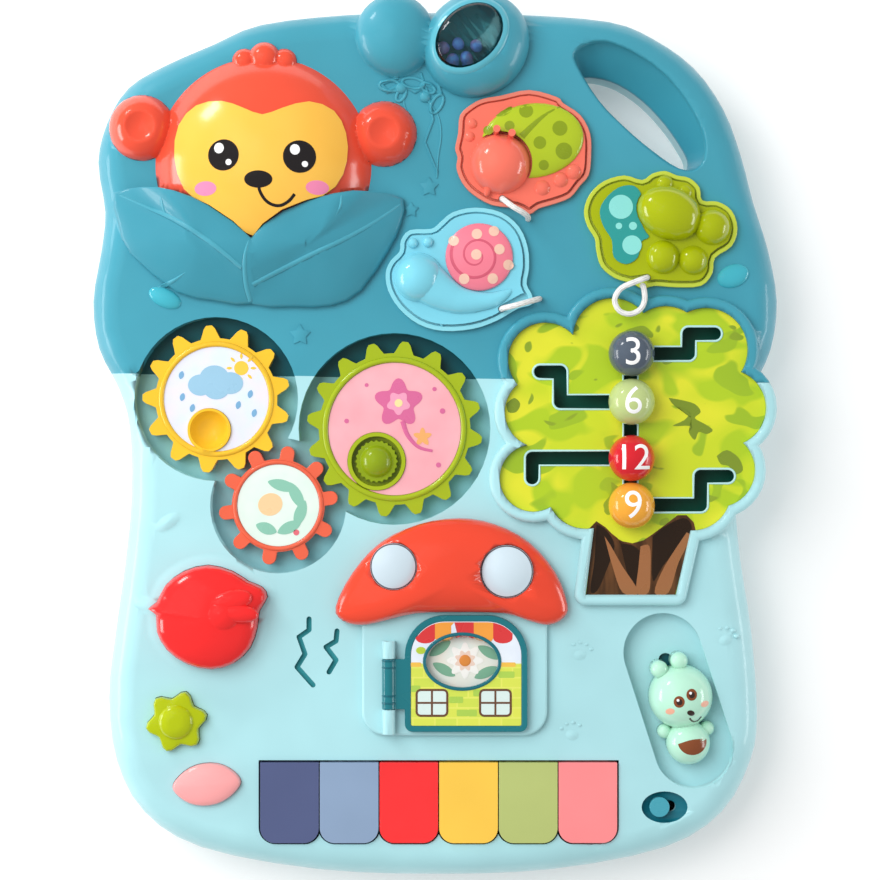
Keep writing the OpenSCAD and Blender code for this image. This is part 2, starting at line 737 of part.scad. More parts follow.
// ---- Case underside and inside ----
sockets_at = [[-128, 112], [126, 112], [-128, -150], [126, -150]];
feet_at = [
  [-147, 76], [147, 70], [-148, -112], [148, -108], [-44, 192], [36, 192], [-62, -198], [62, -198]];
screws_at = [
  [-60, 190], [52, 186], [-148, 30], [146, 40], [-145, -70], [143, -70], [-30, -209], [34, -209]];
screw_r = 1.5;
screw_post_r = 4.5;
screw_seat_z = foot_h + 5;
screw_bite = 8;
battery_at = [10, -55];
battery_top_z = part_z + 3;
door_lip = 2;
board_box = [[-84, -200], [86, -160]];
board_posts_at = [for (x = [-78, 80], y = [-195, -165]) [x, y]];
board_z = 12;
board_t = 1.6;
keypad_z = board_z + board_t;
keypad_t = 1.2;
keypad_dome = 2.8;
button_post_r = 4;
speaker_at = [-57, -107];
speaker_r = 25;
speaker_z = 22;
rod_post_w = 4;
rod_ends = [piano_x - 6, piano_x + (key_count - 1) * key_pitch + key_w + 6];

module battery_2d(grow = 0) {
  translate(battery_at)
    square([battery_l + 2 * grow, battery_w + 2 * grow], center = true);
}

module base_tray() color("#B0E3E9") {
  difference() {
    union() {
      difference() {
        loft([ring(inset(case_curve, 7), foot_h), ring(inset(case_curve, 2), foot_h + 2),
          ring(case_curve, foot_h + 8), ring(case_curve, part_z)]);
        slab(tray_in_z, part_z + 1)
          polygon(inset(case_curve, wall));
      }
      slab(foot_h, part_z)
        polygon(inset(handle_low, -handle_wall));
      for (p = sockets_at)
        at(p, foot_h)
          cylinder(r = socket_r + wall, h = socket_depth + wall);
      for (p = screws_at)
        at(p, foot_h)
          cylinder(r = screw_post_r, h = part_z - foot_h);
      for (p = board_posts_at)
        at(p, foot_h)
          cylinder(r = 3, h = board_z - foot_h);
      at(speaker_at, foot_h)
        cylinder(r = speaker_r + 1.5, h = speaker_z - foot_h);
      slab(foot_h, battery_top_z)
        battery_2d(wall);
      for (p = [bird_at, star_at, lemon_at])
        at(p, foot_h)
          cylinder(r = button_post_r, h = flange_z - button_travel - fit - foot_h);
      for (x = rod_ends)
        translate([x - rod_post_w / 2, rod_at[0] - 4, foot_h])
          cube([rod_post_w, 8, rod_at[1] + 4 - foot_h]);
    }
    slab(0, 60)
      polygon(handle_low);
    for (p = sockets_at)
      at(p, foot_h - 1)
        cylinder(r = socket_r, h = socket_depth + 1);
    for (p = screws_at) {
      at(p, foot_h - 1)
        cylinder(r = screw_head_r + fit, h = screw_seat_z - foot_h + 1);
      at(p, foot_h)
        cylinder(r = screw_r + 0.15, h = part_z);
    }
    at(speaker_at, tray_in_z)
      cylinder(r = speaker_r - 3, h = speaker_z);
    at(speaker_at, speaker_z - 2)
      cylinder(r = speaker_r + fit, h = 3);
    slab(foot_h - 1, battery_top_z - wall)
      battery_2d();
    slab(foot_h - 1, foot_h + wall)
      battery_2d(door_lip);
    translate([rod_ends[0] - 5, rod_at[0], rod_at[1]])
      rotate([0, 90, 0])
        cylinder(r = rod_r + run_fit, h = rod_ends[1] - rod_ends[0] + 10);
  }
}

module battery_door() color("#9FD5DC") {
  difference() {
    slab(foot_h, foot_h + wall - fit / 2)
      battery_2d(door_lip - fit);
    for (i = [-2:2])
      translate([battery_at[0] - battery_l / 2 + 8, battery_at[1] + 4 * i - 0.6, foot_h - 1])
        cube([10, 1.2, 1.6]);
  }
}

module case_screws() color("#B8BCC0") {
  for (p = screws_at)
    at(p, screw_seat_z - 2)
      difference() {
        union() {
          cylinder(r = screw_head_r, h = 2);
          translate([0, 0, 2])
            cylinder(r = screw_r, h = part_z - screw_seat_z + screw_bite);
        }
        for (a = [0, 90])
          rotate(a)
            translate([-2, -0.4, -1])
              cube([4, 0.8, 2]);
      }
}

module rubber_feet() color("#5B6468") {
  for (p = feet_at)
    at(p)
      difference() {
        cylinder(r = foot_r, h = foot_h);
        translate([0, 0, -1])
          cylinder(r = foot_r - 3, h = 1.6);
      }
}

module circuit_board() color("#2E7D4F") {
  difference() {
    slab(board_z, board_z + board_t)
      round_box(board_box[0], board_box[1], 3);
    for (p = board_posts_at)
      at(p, 0)
        cylinder(r = 1, h = 40);
  }
  for (i = [0:2])
    translate([-40 + 30 * i, -166, keypad_z])
      cube([8, 5, 1.6]);
}

// How far the keypad stops short of the piano at either end
keypad_short = [15.3, 15.5];
module rubber_keypad() color("#D9DCDD") {
  slab(keypad_z, keypad_z + keypad_t)
    round_box([piano_x + keypad_short[0], -197], [piano_end - keypad_short[1], -172], 2);
  for (i = [0:key_count - 1])
    at([piano_x + i * key_pitch + key_w / 2, key_peg_y], keypad_z + keypad_t)
      rotate_extrude()
        polygon([[0, 0], [5, 0], [3.5, keypad_dome - 0.4], [3, keypad_dome], [0, keypad_dome]]);
}

module speaker() color("#3A3F44") {
  at(speaker_at, speaker_z)
    mirror([0, 0, 1])
      cylinder(r = 12, h = 12);
  at(speaker_at, speaker_z - 2)
    difference() {
      cylinder(r = speaker_r, h = 3);
      translate([0, 0, 1.5])
        cylinder(r1 = 12, r2 = 21, h = 2);
    }
  at(speaker_at, speaker_z - 1)
    cylinder(r = 8, h = 2);
}

module battery_springs() color("#C9CDD1") {
  for (i = [-1:1])
    translate([battery_at[0] - battery_l / 2, battery_at[1] + 16 * i, 12])
      rotate([0, 90, 0]) {
        translate([-5, -5, 0])
          cube([10, 10, 0.5]);
        for (k = [0:2])
          translate([0, 0, 0.8 + 1.1 * k])
            rotate_extrude($fn = 24)
              translate([4 - 0.6 * k, 0])
                circle(0.6, $fn = 16);
      }
}

module key_rod() color("#C9CDD1") {
  translate([rod_ends[0] - rod_post_w / 2, rod_at[0], rod_at[1]])
    rotate([0, 90, 0])
      cylinder(r = rod_r, h = rod_ends[1] - rod_ends[0] + rod_post_w);
}

// ---- Monkey and leaves ----
// The part above z = 0 of a ball whose middle lies sink below it
module cap(r, sink = 0) {
  rotate_extrude()
    intersection() {
      translate([0, -sink])
        circle(r);
      square([r + 1, 2 * r + 1]);
    }
}

module leaves_2d(grow) {
  polygon(grown(left_leaf, left_leaf_mid, grow));
  polygon(grown(right_leaf, right_leaf_mid, grow));
}

module monkey_head() color("#F0553C") {
  difference() {
    union() {
      at(head_at, deck_z)
        cap(head_sphere_r, head_sphere_r - head_h, $fn = 128);
      for (p = ears_at)
        at(p, deck_z)
          difference() {
            cap(ear_r + 1, 5.8);
            translate([0, 0, 21])
              sphere(13.5);
          }
      at(tuft_at, deck_z)
        cap(8, 1);
      for (s = [-1, 1])
        at(tuft_at + [10 * s, -1.5], deck_z)
          cap(6.5, 2);
    }
    slab(deck_z - 1, deck_z + 40)
      leaves_2d(0.1);
  }
}

module monkey_face() color("#FEC452") {
  difference() {
    intersection() {
      at(head_at, deck_z + head_h - head_sphere_r)
        sphere(head_sphere_r + face_t, $fn = 128);
      slab(deck_z + 2, deck_z + 60)
        polygon(face_curve);
    }
    at(head_at, deck_z + head_h - head_sphere_r)
      sphere(head_sphere_r + 0.05, $fn = 128);
    slab(deck_z, deck_z + 60)
      leaves_2d(0.1);
  }
}

// Height of a leaf's edge above the deck: high against the head, low elsewhere
function leaf_edge(p) = leaf_low
  + (leaf_h - leaf_crown - leaf_low) * max(0, min(1, (head_r + 15 - norm(p - head_at)) / 20));

module leaf(c, m) {
  mid_h = leaf_h - leaf_crown - 3;
  loft(concat([ring(c, deck_z)], [for (a = [0:16:80]) [for (p = c)
    let (s = cos(a), q = m + (p - m) * s)
    [q[0], q[1], deck_z + leaf_edge(p) * s + mid_h * (1 - s) + leaf_crown * sin(a)]]]));
}

module leaf_collar() color("#3F9DB2") {
  leaf(left_leaf, left_leaf_mid);
  leaf(right_leaf, right_leaf_mid);
}

// ---- Rattle balloon ----
cup_top = deck_z + balloon_h - 5;
cup_floor = deck_z + 1;

module rattle_cup() color("#0A5468") {
  at(window_at, cup_floor)
    difference() {
      linear_extrude(cup_top - cup_floor)
        polygon(ellipse(window_a - fit, window_b - fit, window_turn));
      translate([0, 0, 1.2])
        linear_extrude(20)
          polygon(ellipse(window_a - 1.6, window_b - 1.6, window_turn));
    }
}

module rattle_window() color("#8FC7D8", 0.4) {
  c = moved(ellipse(window_a - fit, window_b - fit, window_turn, 28), window_at);
  pillow(c, window_at, cup_top, cup_top + 1, 4.5, 3);
}

beads_at = [[5.5, 193.5], [9.5, 188.5], [15.5, 189.5], [12, 195.5], [20, 195]];
module rattle_beads() color("#E77FB3") {
  for (p = beads_at)
    at(p, cup_floor + 1.2 + bead_r + 0.02)
      sphere(bead_r, $fn = 24);
}

// ---- Animal trays ----
module tray(c) {
  difference() {
    slab(deck_z, deck_z + rim_h)
      polygon(c);
    slab(deck_z + tray_t, deck_z + 20)
      polygon(inset(c, rim_w));
  }
}

module ladybug_tray() color("#EE8773") tray(ladybug_curve);
module snail_tray() color("#8FDDEB") tray(snail_curve);
module butterfly_tray() color("#C8D746") tray(butterfly_curve);

// ---- Gear posts ----
gear_z = well_z + 1 + fit;
gear_top = gear_z + gear_t;
bore_depth = gear_t - 2;

module gear_post(p) {
  at(p, well_z)
    cylinder(r = axle_r + 3, h = 1);
  at(p, well_z)
    cylinder(r = axle_r, h = 1 + fit + bore_depth - 0.5);
}

module gear_posts() color("#0E6A7C") {
  gear_post(yellow_at);
  gear_post(orange_at);
  gear_post(green_at);
}

// ---- Tree plate ----
// Side track of a ball: along its row, then up or down, then out
module side_track(i) {
  p = [track_x, ball_rows[i]];
  q = p + [ball_reach[i], 0];
  r = q + [0, branch_up[i]];
  track(p, q, track_w);
  track(q, r, track_w);
  if (branch_out[i] != 0)
    track(r, r + [branch_out[i], 0], track_w);
}

module tree_plate() color("#A8CC3C") {
  difference() {
    union() {
      for (l = tree_lobes)
        at([l[0], l[1]], plate_z)
          cylinder(r = l[2], h = plate_t);
      slab(plate_z, plate_top)
        polygon([for (l = tree_lobes) [l[0], l[1]]]);
      slab(plate_z, plate_top)
        trunk_2d(0);
    }
    slab(plate_z - 1, plate_top + 1) {
      track([track_x, track_y[0]], [track_x, track_y[1]], track_w);
      for (i = [0:3])
        side_track(i);
    }
  }
}

// ---- Mushroom house ----
spot_floor_z = deck_z + cap_h - 8;
spot_side = 5;
house_gap = 0.8;
module mushroom_cap() color("#F04B32") {
  difference() {
    pillow(cap_curve, cap_mid, deck_z, house_z + 1, cap_h - house_up - 1, 6);
    translate([house_x[0] - house_gap, house_y[0], deck_z - 1])
      cube([house_x[1] - house_x[0] + 2 * house_gap, house_y[1] + 12 + house_gap - house_y[0],
        house_up + 1.05]);
    for (s = cap_spots_at)
      at(s, spot_floor_z)
        linear_extrude(20)
          polygon(ellipse(s[2] + fit, s[2] + fit));
  }
}

module cap_spots() color("#E6F3FA") {
  for (s = cap_spots_at)
    at(s, spot_floor_z) {
      cylinder(r = s[2], h = spot_side);
      translate([0, 0, spot_side])
        cap(2.2 * s[2], 2.2 * s[2] - 2.6);
    }
}

module hinge_pin() color("#C9CDD1") {
  translate([hinge_x, knuckles[0][0] + 0.5, hinge_z])
    rotate([-90, 0, 0])
      cylinder(r = pin_r, h = knuckles[1][1] - knuckles[0][0] - 1);
}

module peek_picture() color("#CFE8F0") {
  slab(house_z - 2, house_z - 2 + picture_t)
    round_box(door_window_at - [22.7, 19.7], door_window_at + [22.7, 19.7], 6);
}

// ---- Gears ----
// Gear outline with rounded teeth; share moves material between tooth and gap
function gear_curve(teeth, root, tip, turn, share = 0.35) =
  let (n = 12 * teeth, mid = (root + tip) / 2, amp = (tip - root) / 2)
  [for (i = [0:n - 1]) let (t = 360 * i / n)
    (mid + amp * max(-1, min(1, 1.7 * cos(teeth * t) - share))) * [cos(t + turn), sin(t + turn)]];

function dir_angle(a, b) = atan2(b[1] - a[1], b[0] - a[0]);
orange_turn = 8;
// Where gear b's tooth stands, given that gear a has a tooth at angle turn_a
function mesh_turn(a, b, teeth_a, teeth_b, turn_a) =
  let (f = (dir_angle(a, b) - turn_a) * teeth_a / 360)
  dir_angle(b, a) + (0.5 + f) * 360 / teeth_b;
yellow_turn = mesh_turn(orange_at, yellow_at, orange_teeth, yellow_teeth, orange_turn);
green_turn = mesh_turn(orange_at, green_at, orange_teeth, green_teeth, orange_turn);
label_r = [26.2, 20.5, 33.2];

module gear_bore(p) {
  at(p, gear_z - 1)
    cylinder(r = axle_r + run_fit, h = bore_depth + 1);
}

module yellow_gear() color("#FCC832") {
  difference() {
    union() {
      at(yellow_at, gear_z)
        linear_extrude(gear_t)
          polygon(gear_curve(yellow_teeth, yellow_root, yellow_tip, yellow_turn));
      at(yellow_dimple_at, gear_z + 1)
        cylinder(r = dimple_r, h = gear_t + 0.5);
    }
    difference() {
      at(yellow_at, gear_top - label_t)
        cylinder(r = label_r[0] + fit / 2, h = 1.5);
      at(yellow_dimple_at, gear_z)
        cylinder(r = dimple_r, h = 20);
    }
    at(yellow_dimple_at, gear_top + 3.5)
      sphere(9.8);
    gear_bore(yellow_at);
  }
}

module gear_label(p, r, hole_at, hole_r) {
  difference() {
    at(p, gear_top - label_t)
      cylinder(r = r, h = label_t);
    if (hole_r > 0)
      at(hole_at, gear_z)
        cylinder(r = hole_r + fit / 2, h = 30);
  }
}

module yellow_gear_label() color("#DCEBF2") gear_label(yellow_at, label_r[0], yellow_dimple_at, dimple_r);
module orange_gear_label() color("#D9EFE4") gear_label(orange_at, label_r[1], orange_at, 0);
module green_gear_label() color("#F5B8CB")
  gear_label(green_at, label_r[2], green_hub_at, spinner_pocket_r + 2);

module orange_gear() color("#F0694B") {
  difference() {
    at(orange_at, gear_z)
      linear_extrude(gear_t) {
        circle(orange_root);
        for (i = [0:orange_teeth - 1])
          rotate(orange_turn + 360 * i / orange_teeth) {
            translate([0, -peg_w / 2])
              square([orange_tip - peg_w / 2, peg_w]);
            translate([orange_tip - peg_w / 2, 0])
              circle(peg_w / 2, $fn = 32);
          }
      }
    at(orange_at, gear_top - label_t)
      cylinder(r = label_r[1] + fit / 2, h = 2);
    gear_bore(orange_at);
  }
}

spinner_axle_r = 2.2;
spinner_z = gear_z + gear_t - 5;
module green_gear() color("#A8BB1E") {
  difference() {
    union() {
      at(green_at, gear_z)
        linear_extrude(gear_t)
          polygon(gear_curve(green_teeth, green_root, green_tip, green_turn));
      at(green_hub_at, gear_z + 1)
        cylinder(r = spinner_pocket_r + 2, h = gear_t);
    }
    difference() {
      at(green_at, gear_top - label_t)
        cylinder(r = label_r[2] + fit / 2, h = 1.5);
      at(green_hub_at, gear_z)
        cylinder(r = spinner_pocket_r + 2, h = 20);
    }
    difference() {
      at(green_hub_at, spinner_z)
        cylinder(r = spinner_pocket_r, h = 10);
      at(green_hub_at, spinner_z - 1)
        cylinder(r = spinner_axle_r, h = 7);
    }
    gear_bore(green_at);
  }
}

module spinner_knob() color("#8FA616") {
  at(green_hub_at, spinner_z + fit)
    difference() {
      union() {
        linear_extrude(5)
          polygon([for (a = [0:3.75:356.25])
            (spinner_r - 0.5 + 0.5 * cos(24 * a)) * [cos(a), sin(a)]]);
        translate([0, 0, 5])
          cap(8.6, 3);
      }
      translate([0, 0, -1])
        cylinder(r = spinner_axle_r + run_fit, h = 8);
    }
}

// ---- Number balls ----
module ball(i) {
  at([track_x, ball_rows[i]], plate_top + fit)
    cap(ball_d / 2, ball_sink - ball_d / 2);
  at([track_x, ball_rows[i]], plate_z - fit - 1)
    cylinder(r = ball_stem_r, h = plate_t + 2 * fit + 2);
  at([track_x, ball_rows[i]], plate_z - fit - 2)
    cylinder(r = ball_foot_r, h = 2);
}

module ball_3() color("#55606E") ball(0);
module ball_6() color("#BFD08A") ball(1);
module ball_12() color("#D8232F") ball(2);
module ball_9() color("#F2A93B") ball(3);

// ---- Buttons ----
flange_z = inner_z - fit - 2;
bird_wing = [8, 2];
star_step = deck_z + 5;
star_dome_r = 8.5;
module button(c, p, z1, h) {
  pillow(moved(c, p), p, flange_z + 1, z1, h, 4);
  at(p, flange_z)
    linear_extrude(2)
      polygon(grown(c, [0, 0], button_flange));
}

module bird_button() color("#FA2D2D") {
  button(bird_curve, bird_at, deck_z + 7, bird_h - 9);
  at(bird_at + bird_wing, deck_z + 7)
    cap(bird_h - 7, 0, $fn = 32);
}

module star_button() color("#B4C30A") {
  round_curve = ellipse(1, 1, 12, len(star_curve));
  loft(concat([for (s = [[1, flange_z + 1], [1, star_step - 1.5], [0.95, star_step - 0.4], [0.86, star_step]])
    ring(moved(s[0] * star_curve, star_at), s[1])],
    [for (a = [0:18:72])
      ring(moved(star_dome_r * cos(a) * round_curve, star_at), star_step + 0.2 + 3.5 * sin(a))]));
  at(star_at, flange_z)
    linear_extrude(2)
      polygon(grown(star_curve, [0, 0], button_flange));
}

module lemon_button() color("#FFAAAA") {
  button(lemon_curve, lemon_at, deck_z + 2.5, 3.5);
}

// ---- Power switch and bear ----
module power_switch() color("#2E93A6") {
  at(switch_at - [switch_travel / 2, 0], deck_z - switch_depth + fit) {
    cylinder(r = switch_knob_r, h = switch_depth);
    translate([0, 0, -4.5])
      cylinder(r = 2.5, h = 5);
    translate([0, 0, -wall - 2 * fit - 2])
      cylinder(r = 4, h = 2);
  }
}

bear_ears_at = [[piano_end + 20.5, -116.5], [piano_end + 30.3, -112.3]];
bear_arms_at = [[piano_end + 23.5, -148], [piano_end + 45, -146.5]];
bear_belly_at = [piano_end + 35.3, -153.5];
module bear_slider() color("#BEF0D7") {
  $fn = 40;
  z0 = deck_z - bear_depth + fit;
  for (f = [[bear_head_at, bear_head_r, 5], [bear_belly_at, 11, 5], [bear_ears_at[0], 4.4, 9],
      [bear_ears_at[1], 4.4, 9], [bear_arms_at[0], 3.6, 4], [bear_arms_at[1], 3.6, 4]])
    at(f[0], z0)
      rotate_extrude() {
        square([f[1], f[2]]);
        translate([0, f[2]])
          intersection() {
            circle(f[1]);
            square(f[1] + 1);
          }
      }
  at(bear_at, z0 - wall - 2 * fit - 2) {
    cylinder(r = bear_slot_w / 2 - fit, h = wall + 6);
    cylinder(r = 7, h = 2);
  }
}

// ---- Piano keys ----
key_colours = ["#566088", "#8FA6C4", "#FB3537", "#FCCB4E", "#B9C578", "#FF9092"];
key_corner = 7.5;
key_peg_z = keypad_z + keypad_t + keypad_dome + key_drop + fit;
module key(i) color(key_colours[i]) {
  x = piano_x + i * key_pitch;
  difference() {
    union() {
      slab(deck_z - key_depth, deck_z + key_up)
        key_2d(i);
      translate([x + 4, piano_y - 1, rod_at[1] - 3.5])
        cube([key_w - 8, key_tail_l + 1, 7]);
      at([x + key_w / 2, key_peg_y], key_peg_z)
        cylinder(r = 3, h = deck_z - key_depth - key_peg_z + 1);
    }
    translate([x - 1, rod_at[0], rod_at[1]])
      rotate([0, 90, 0])
        cylinder(r = rod_r + run_fit, h = key_w + 2);
  }
}

module key_1() key(0);
module key_2() key(1);
module key_3() key(2);
module key_4() key(3);
module key_5() key(4);
module key_6() key(5);

// ---- Door ----
module door_2d(grow = 0) {
  offset(delta = grow)
    hull() {
      for (x = [door_at[0] + 4, door_at[0] + door_w - 4])
        translate([x, door_at[1] + 4])
          circle(4, $fn = 32);
      for (x = [door_at[0] + 20, door_at[0] + door_w - 20])
        translate([x, door_at[1] + door_h - 20])
          circle(20, $fn = 48);
    }
}

module window_2d(grow = 0) {
  translate(door_window_at)
    polygon(ellipse(door_window_r[0] + grow, door_window_r[1] + grow));
}

module house_door() color("#1E7882") {
  difference() {
    union() {
      slab(door_z, door_z + door_t)
        door_2d();
      translate([hinge_x, knuckles[0][1] + door_knuckle_gap, hinge_z])
        rotate([-90, 0, 0])
          cylinder(r = hinge_r, h = knuckles[1][0] - knuckles[0][1] - 2 * door_knuckle_gap);
      translate([hinge_x, knuckles[0][1] + door_knuckle_gap, hinge_z - 1.5])
        cube([door_at[0] - hinge_x + 1, knuckles[1][0] - knuckles[0][1] - 2 * door_knuckle_gap,
          door_z + door_t - hinge_z + 1.5]);
    }
    slab(door_z - 1, door_z + 10)
      window_2d();
    slab(door_z + door_t - 0.8, door_z + 10)
      door_2d(-3);
    translate([hinge_x, -200, hinge_z])
      rotate([-90, 0, 0])
        cylinder(r = pin_r + run_fit, h = 150);
  }
}

module door_label() color("#D9DE6A") {
  difference() {
    slab(door_z + door_t - 0.8, door_z + door_t - 0.2)
      door_2d(-3 - fit / 2);
    slab(door_z - 1, door_z + 10)
      window_2d(fit / 2);
  }
}

// ---- Animals ----
notch_r = cord_d / 2 + fit + 0.2;
module animal_base(c) {
  slab(animal_z, animal_base_z)
    polygon(inset(c, rim_w + animal_gap));
}

// Notch that lets an animal lift past its cord, which leaves p in direction a
module cord_notch(p, a) {
  slab(deck_z, deck_z + 40)
    hull() {
      translate(p)
        circle(notch_r, $fn = 24);
      translate(p + 12 * [cos(a), sin(a)])
        circle(notch_r + 3, $fn = 24);
    }
}

module on_base(p) {
  at(p, animal_base_z - 1)
    children();
}

module ladybug_body() color("#FA7864") {
  difference() {
    union() {
      animal_base(ladybug_curve);
      on_base(ladybug_head_at)
        cap(15.5, 2);
      for (p = [[53.5, 123.5], [62.5, 127.5], [69, 131.5]])
        on_base(p)
          cap(4.6, 1.5);
      for (p = [[18.5, 155.5], [17.3, 149]])
        on_base(p)
          cap(3, 0.5);
      for (p = [[30.5, 151.5], [38, 149.5]])
        on_base(p)
          cylinder(r = 1.8, h = 13);
    }
    cord_notch(ladybug_cord_at, -45);
  }
}

module ladybug_shell() color("#B4C828") {
  difference() {
    pillow(moved(ellipse(25.5, 18.5, 8, 36), ladybug_wing_at), ladybug_wing_at,
      animal_base_z, animal_base_z + 0.5, 4, 4);
    at(ladybug_head_at, deck_z)
      cylinder(r = 15.8, h = 40);
    for (p = [[30.5, 151.5], [38, 149.5]])
      at(p, deck_z)
        cylinder(r = 2.1, h = 40);
  }
}

snail_neck_r = 24.5;
snail_neck_half = 5.5;
module snail_body() color("#82D7EB") {
  difference() {
    union() {
      animal_base(snail_curve);
      on_base(snail_head_at)
        cap(12.5, 1);
      at(snail_shell_at, animal_base_z)
        rotate(195)
          rotate_extrude(angle = 88)
            translate([snail_neck_r, 0])
              intersection() {
                circle(snail_neck_half);
                translate([-snail_neck_half, -1])
                  square([2 * snail_neck_half, snail_neck_half + 1]);
              }
      for (p = [[-11, 96], [-3.5, 96.5]])
        on_base(p)
          cap(2.6, -1.5);
    }
    cord_notch(snail_cord_at, 15);
  }
}

module snail_shell() color("#F58296") {
  at(snail_shell_at, animal_base_z)
    rotate_extrude()
      polygon([[0, 0], [16.8, 0], [16.8, 1], [16, 1.9], [13, 3], [8, 4], [3, 4.4], [0, 4.4]]);
}

butterfly_wing_curve = smooth([
  [84, 117], [91, 123.5], [99, 124.5], [103, 119], [101, 112], [104, 103], [106.5, 99], [102.5, 96.5],
  [101, 89], [95, 85.5], [89, 89], [88, 97.5], [84, 104], [82, 111]], 3);
butterfly_egg = moved(ellipse(16.5, 13, -25, 28), butterfly_egg_at);
module butterfly_body() color("#B4C30A") {
  difference() {
    union() {
      animal_base(butterfly_curve);
      pillow(butterfly_egg, butterfly_egg_at, animal_base_z - 1, animal_base_z + 1, 11, 5);
      for (b = [[138, 104, 9.2], [113.5, 89, 8.6], [128.5, 87.5, 7.6], [114.5, 125.5, 4.6],
          [124.5, 121.5, 4]])
        on_base([b[0], b[1]])
          cap(b[2], 1);
    }
    cord_notch(butterfly_cord_at, 202);
  }
}

module butterfly_wing() color("#2F9E9A") {
  difference() {
    slab(animal_base_z, animal_base_z + 0.8)
      polygon([for (i = [len(butterfly_wing_curve) - 1:-1:0]) butterfly_wing_curve[i]]);
    slab(animal_base_z - 1, animal_base_z + 20)
      polygon(grown(butterfly_egg, butterfly_egg_at, 0.4));
  }
}

// ---- Cords of the animals ----
module ladybug_cord() color("white") tube(open_curve(ladybug_route, 2), cord_d);
module snail_cord() color("white") tube(open_curve(snail_route, 2), cord_d);
module butterfly_cord() color("white") tube(open_curve(butterfly_route, 2), cord_d);

base_tray();
upper_cover();
lower_cover();
battery_door();
case_screws();
rubber_feet();
monkey_head();
monkey_face();
leaf_collar();
rattle_cup();
rattle_window();
rattle_beads();
ladybug_tray();
snail_tray();
butterfly_tray();
gear_posts();
tree_plate();
mushroom_cap();
cap_spots();
hinge_pin();
peek_picture();
circuit_board();
speaker();
battery_springs();
rubber_keypad();
key_rod();
yellow_gear();
yellow_gear_label();
orange_gear();
orange_gear_label();
green_gear();
green_gear_label();
spinner_knob();
ball_3();
ball_6();
ball_12();
ball_9();
bird_button();
star_button();
lemon_button();
power_switch();
bear_slider();
key_1();
key_2();
key_3();
key_4();
key_5();
key_6();
house_door();
door_label();
ladybug_body();
ladybug_shell();
snail_body();
snail_shell();
butterfly_body();
butterfly_wing();
ladybug_cord();
snail_cord();
butterfly_cord();
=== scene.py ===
"""Looks of a toddler's musical activity table: moulded covers, printed discs, loose animals on braided cords.

Metres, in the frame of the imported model: +X right, +Y to the carrying handle, +Z up.
"""
import json
import math

import bmesh
import bpy
from mathutils import Matrix, Vector


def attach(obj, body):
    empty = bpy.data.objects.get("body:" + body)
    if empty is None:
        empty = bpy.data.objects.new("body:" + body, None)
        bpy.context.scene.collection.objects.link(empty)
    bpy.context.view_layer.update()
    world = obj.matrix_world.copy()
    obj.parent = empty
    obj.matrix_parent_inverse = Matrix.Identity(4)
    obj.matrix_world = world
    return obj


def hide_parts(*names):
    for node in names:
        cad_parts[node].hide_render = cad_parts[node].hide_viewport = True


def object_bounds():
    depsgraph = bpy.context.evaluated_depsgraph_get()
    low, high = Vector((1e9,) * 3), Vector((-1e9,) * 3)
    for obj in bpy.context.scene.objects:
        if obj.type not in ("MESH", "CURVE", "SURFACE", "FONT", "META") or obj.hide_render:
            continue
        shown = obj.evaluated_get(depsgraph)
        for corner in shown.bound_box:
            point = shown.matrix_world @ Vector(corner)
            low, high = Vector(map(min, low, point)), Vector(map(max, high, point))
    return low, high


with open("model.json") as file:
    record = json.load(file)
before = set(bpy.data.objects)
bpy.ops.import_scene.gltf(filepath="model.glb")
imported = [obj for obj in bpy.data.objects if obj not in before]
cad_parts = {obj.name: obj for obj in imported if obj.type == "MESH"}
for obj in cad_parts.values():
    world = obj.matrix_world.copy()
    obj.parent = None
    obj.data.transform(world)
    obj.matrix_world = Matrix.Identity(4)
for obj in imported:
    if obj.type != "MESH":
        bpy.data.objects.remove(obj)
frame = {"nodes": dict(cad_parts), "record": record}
CAD_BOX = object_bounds()
MM = 0.001
DECK_Z = 44.0 * MM


# ---- Shader nodes and colours ----
def add_node(tree, kind, inputs=None, **settings):
    """Adds a shader node: settings are its own choices, inputs are constants or the sockets to link in."""
    made = tree.nodes.new("ShaderNode" + kind)
    for key, value in settings.items():
        setattr(made, key, value)
    for key, value in (inputs or {}).items():
        if isinstance(value, bpy.types.NodeSocket):
            tree.links.new(value, made.inputs[key])
        else:
            made.inputs[key].default_value = value
    return made


def linear(colour):
    """The linear RGBA of an sRGB hex colour."""
    parts = [int(colour[i:i + 2], 16) / 255 for i in (1, 3, 5)]
    return [p / 12.92 if p <= 0.04045 else ((p + 0.055) / 1.055) ** 2.4 for p in parts] + [1.0]


def shaded(colour, amount):
    """The linear colour made lighter or darker by a factor."""
    return [channel * amount for channel in linear(colour)[:3]] + [1.0]


# ---- Camera and light ----
# The view covers the panel and a margin round it; it looks down at the middle of the deck
VIEW_WIDTH = 440 * MM
VIEW_CENTRE = Vector((2.5 * MM, -2 * MM, DECK_Z))
CAMERA_HEIGHT = 1.15
SENSOR = 36.0


def place_camera():
    """Puts the camera straight above the deck."""
    bpy.ops.object.camera_add(location=VIEW_CENTRE + Vector((0, 0, CAMERA_HEIGHT)))
    camera = bpy.context.object
    camera.data.sensor_width = SENSOR
    camera.data.lens = SENSOR * CAMERA_HEIGHT / VIEW_WIDTH
    bpy.context.scene.camera = camera
    bpy.context.scene.view_settings.view_transform = "Standard"


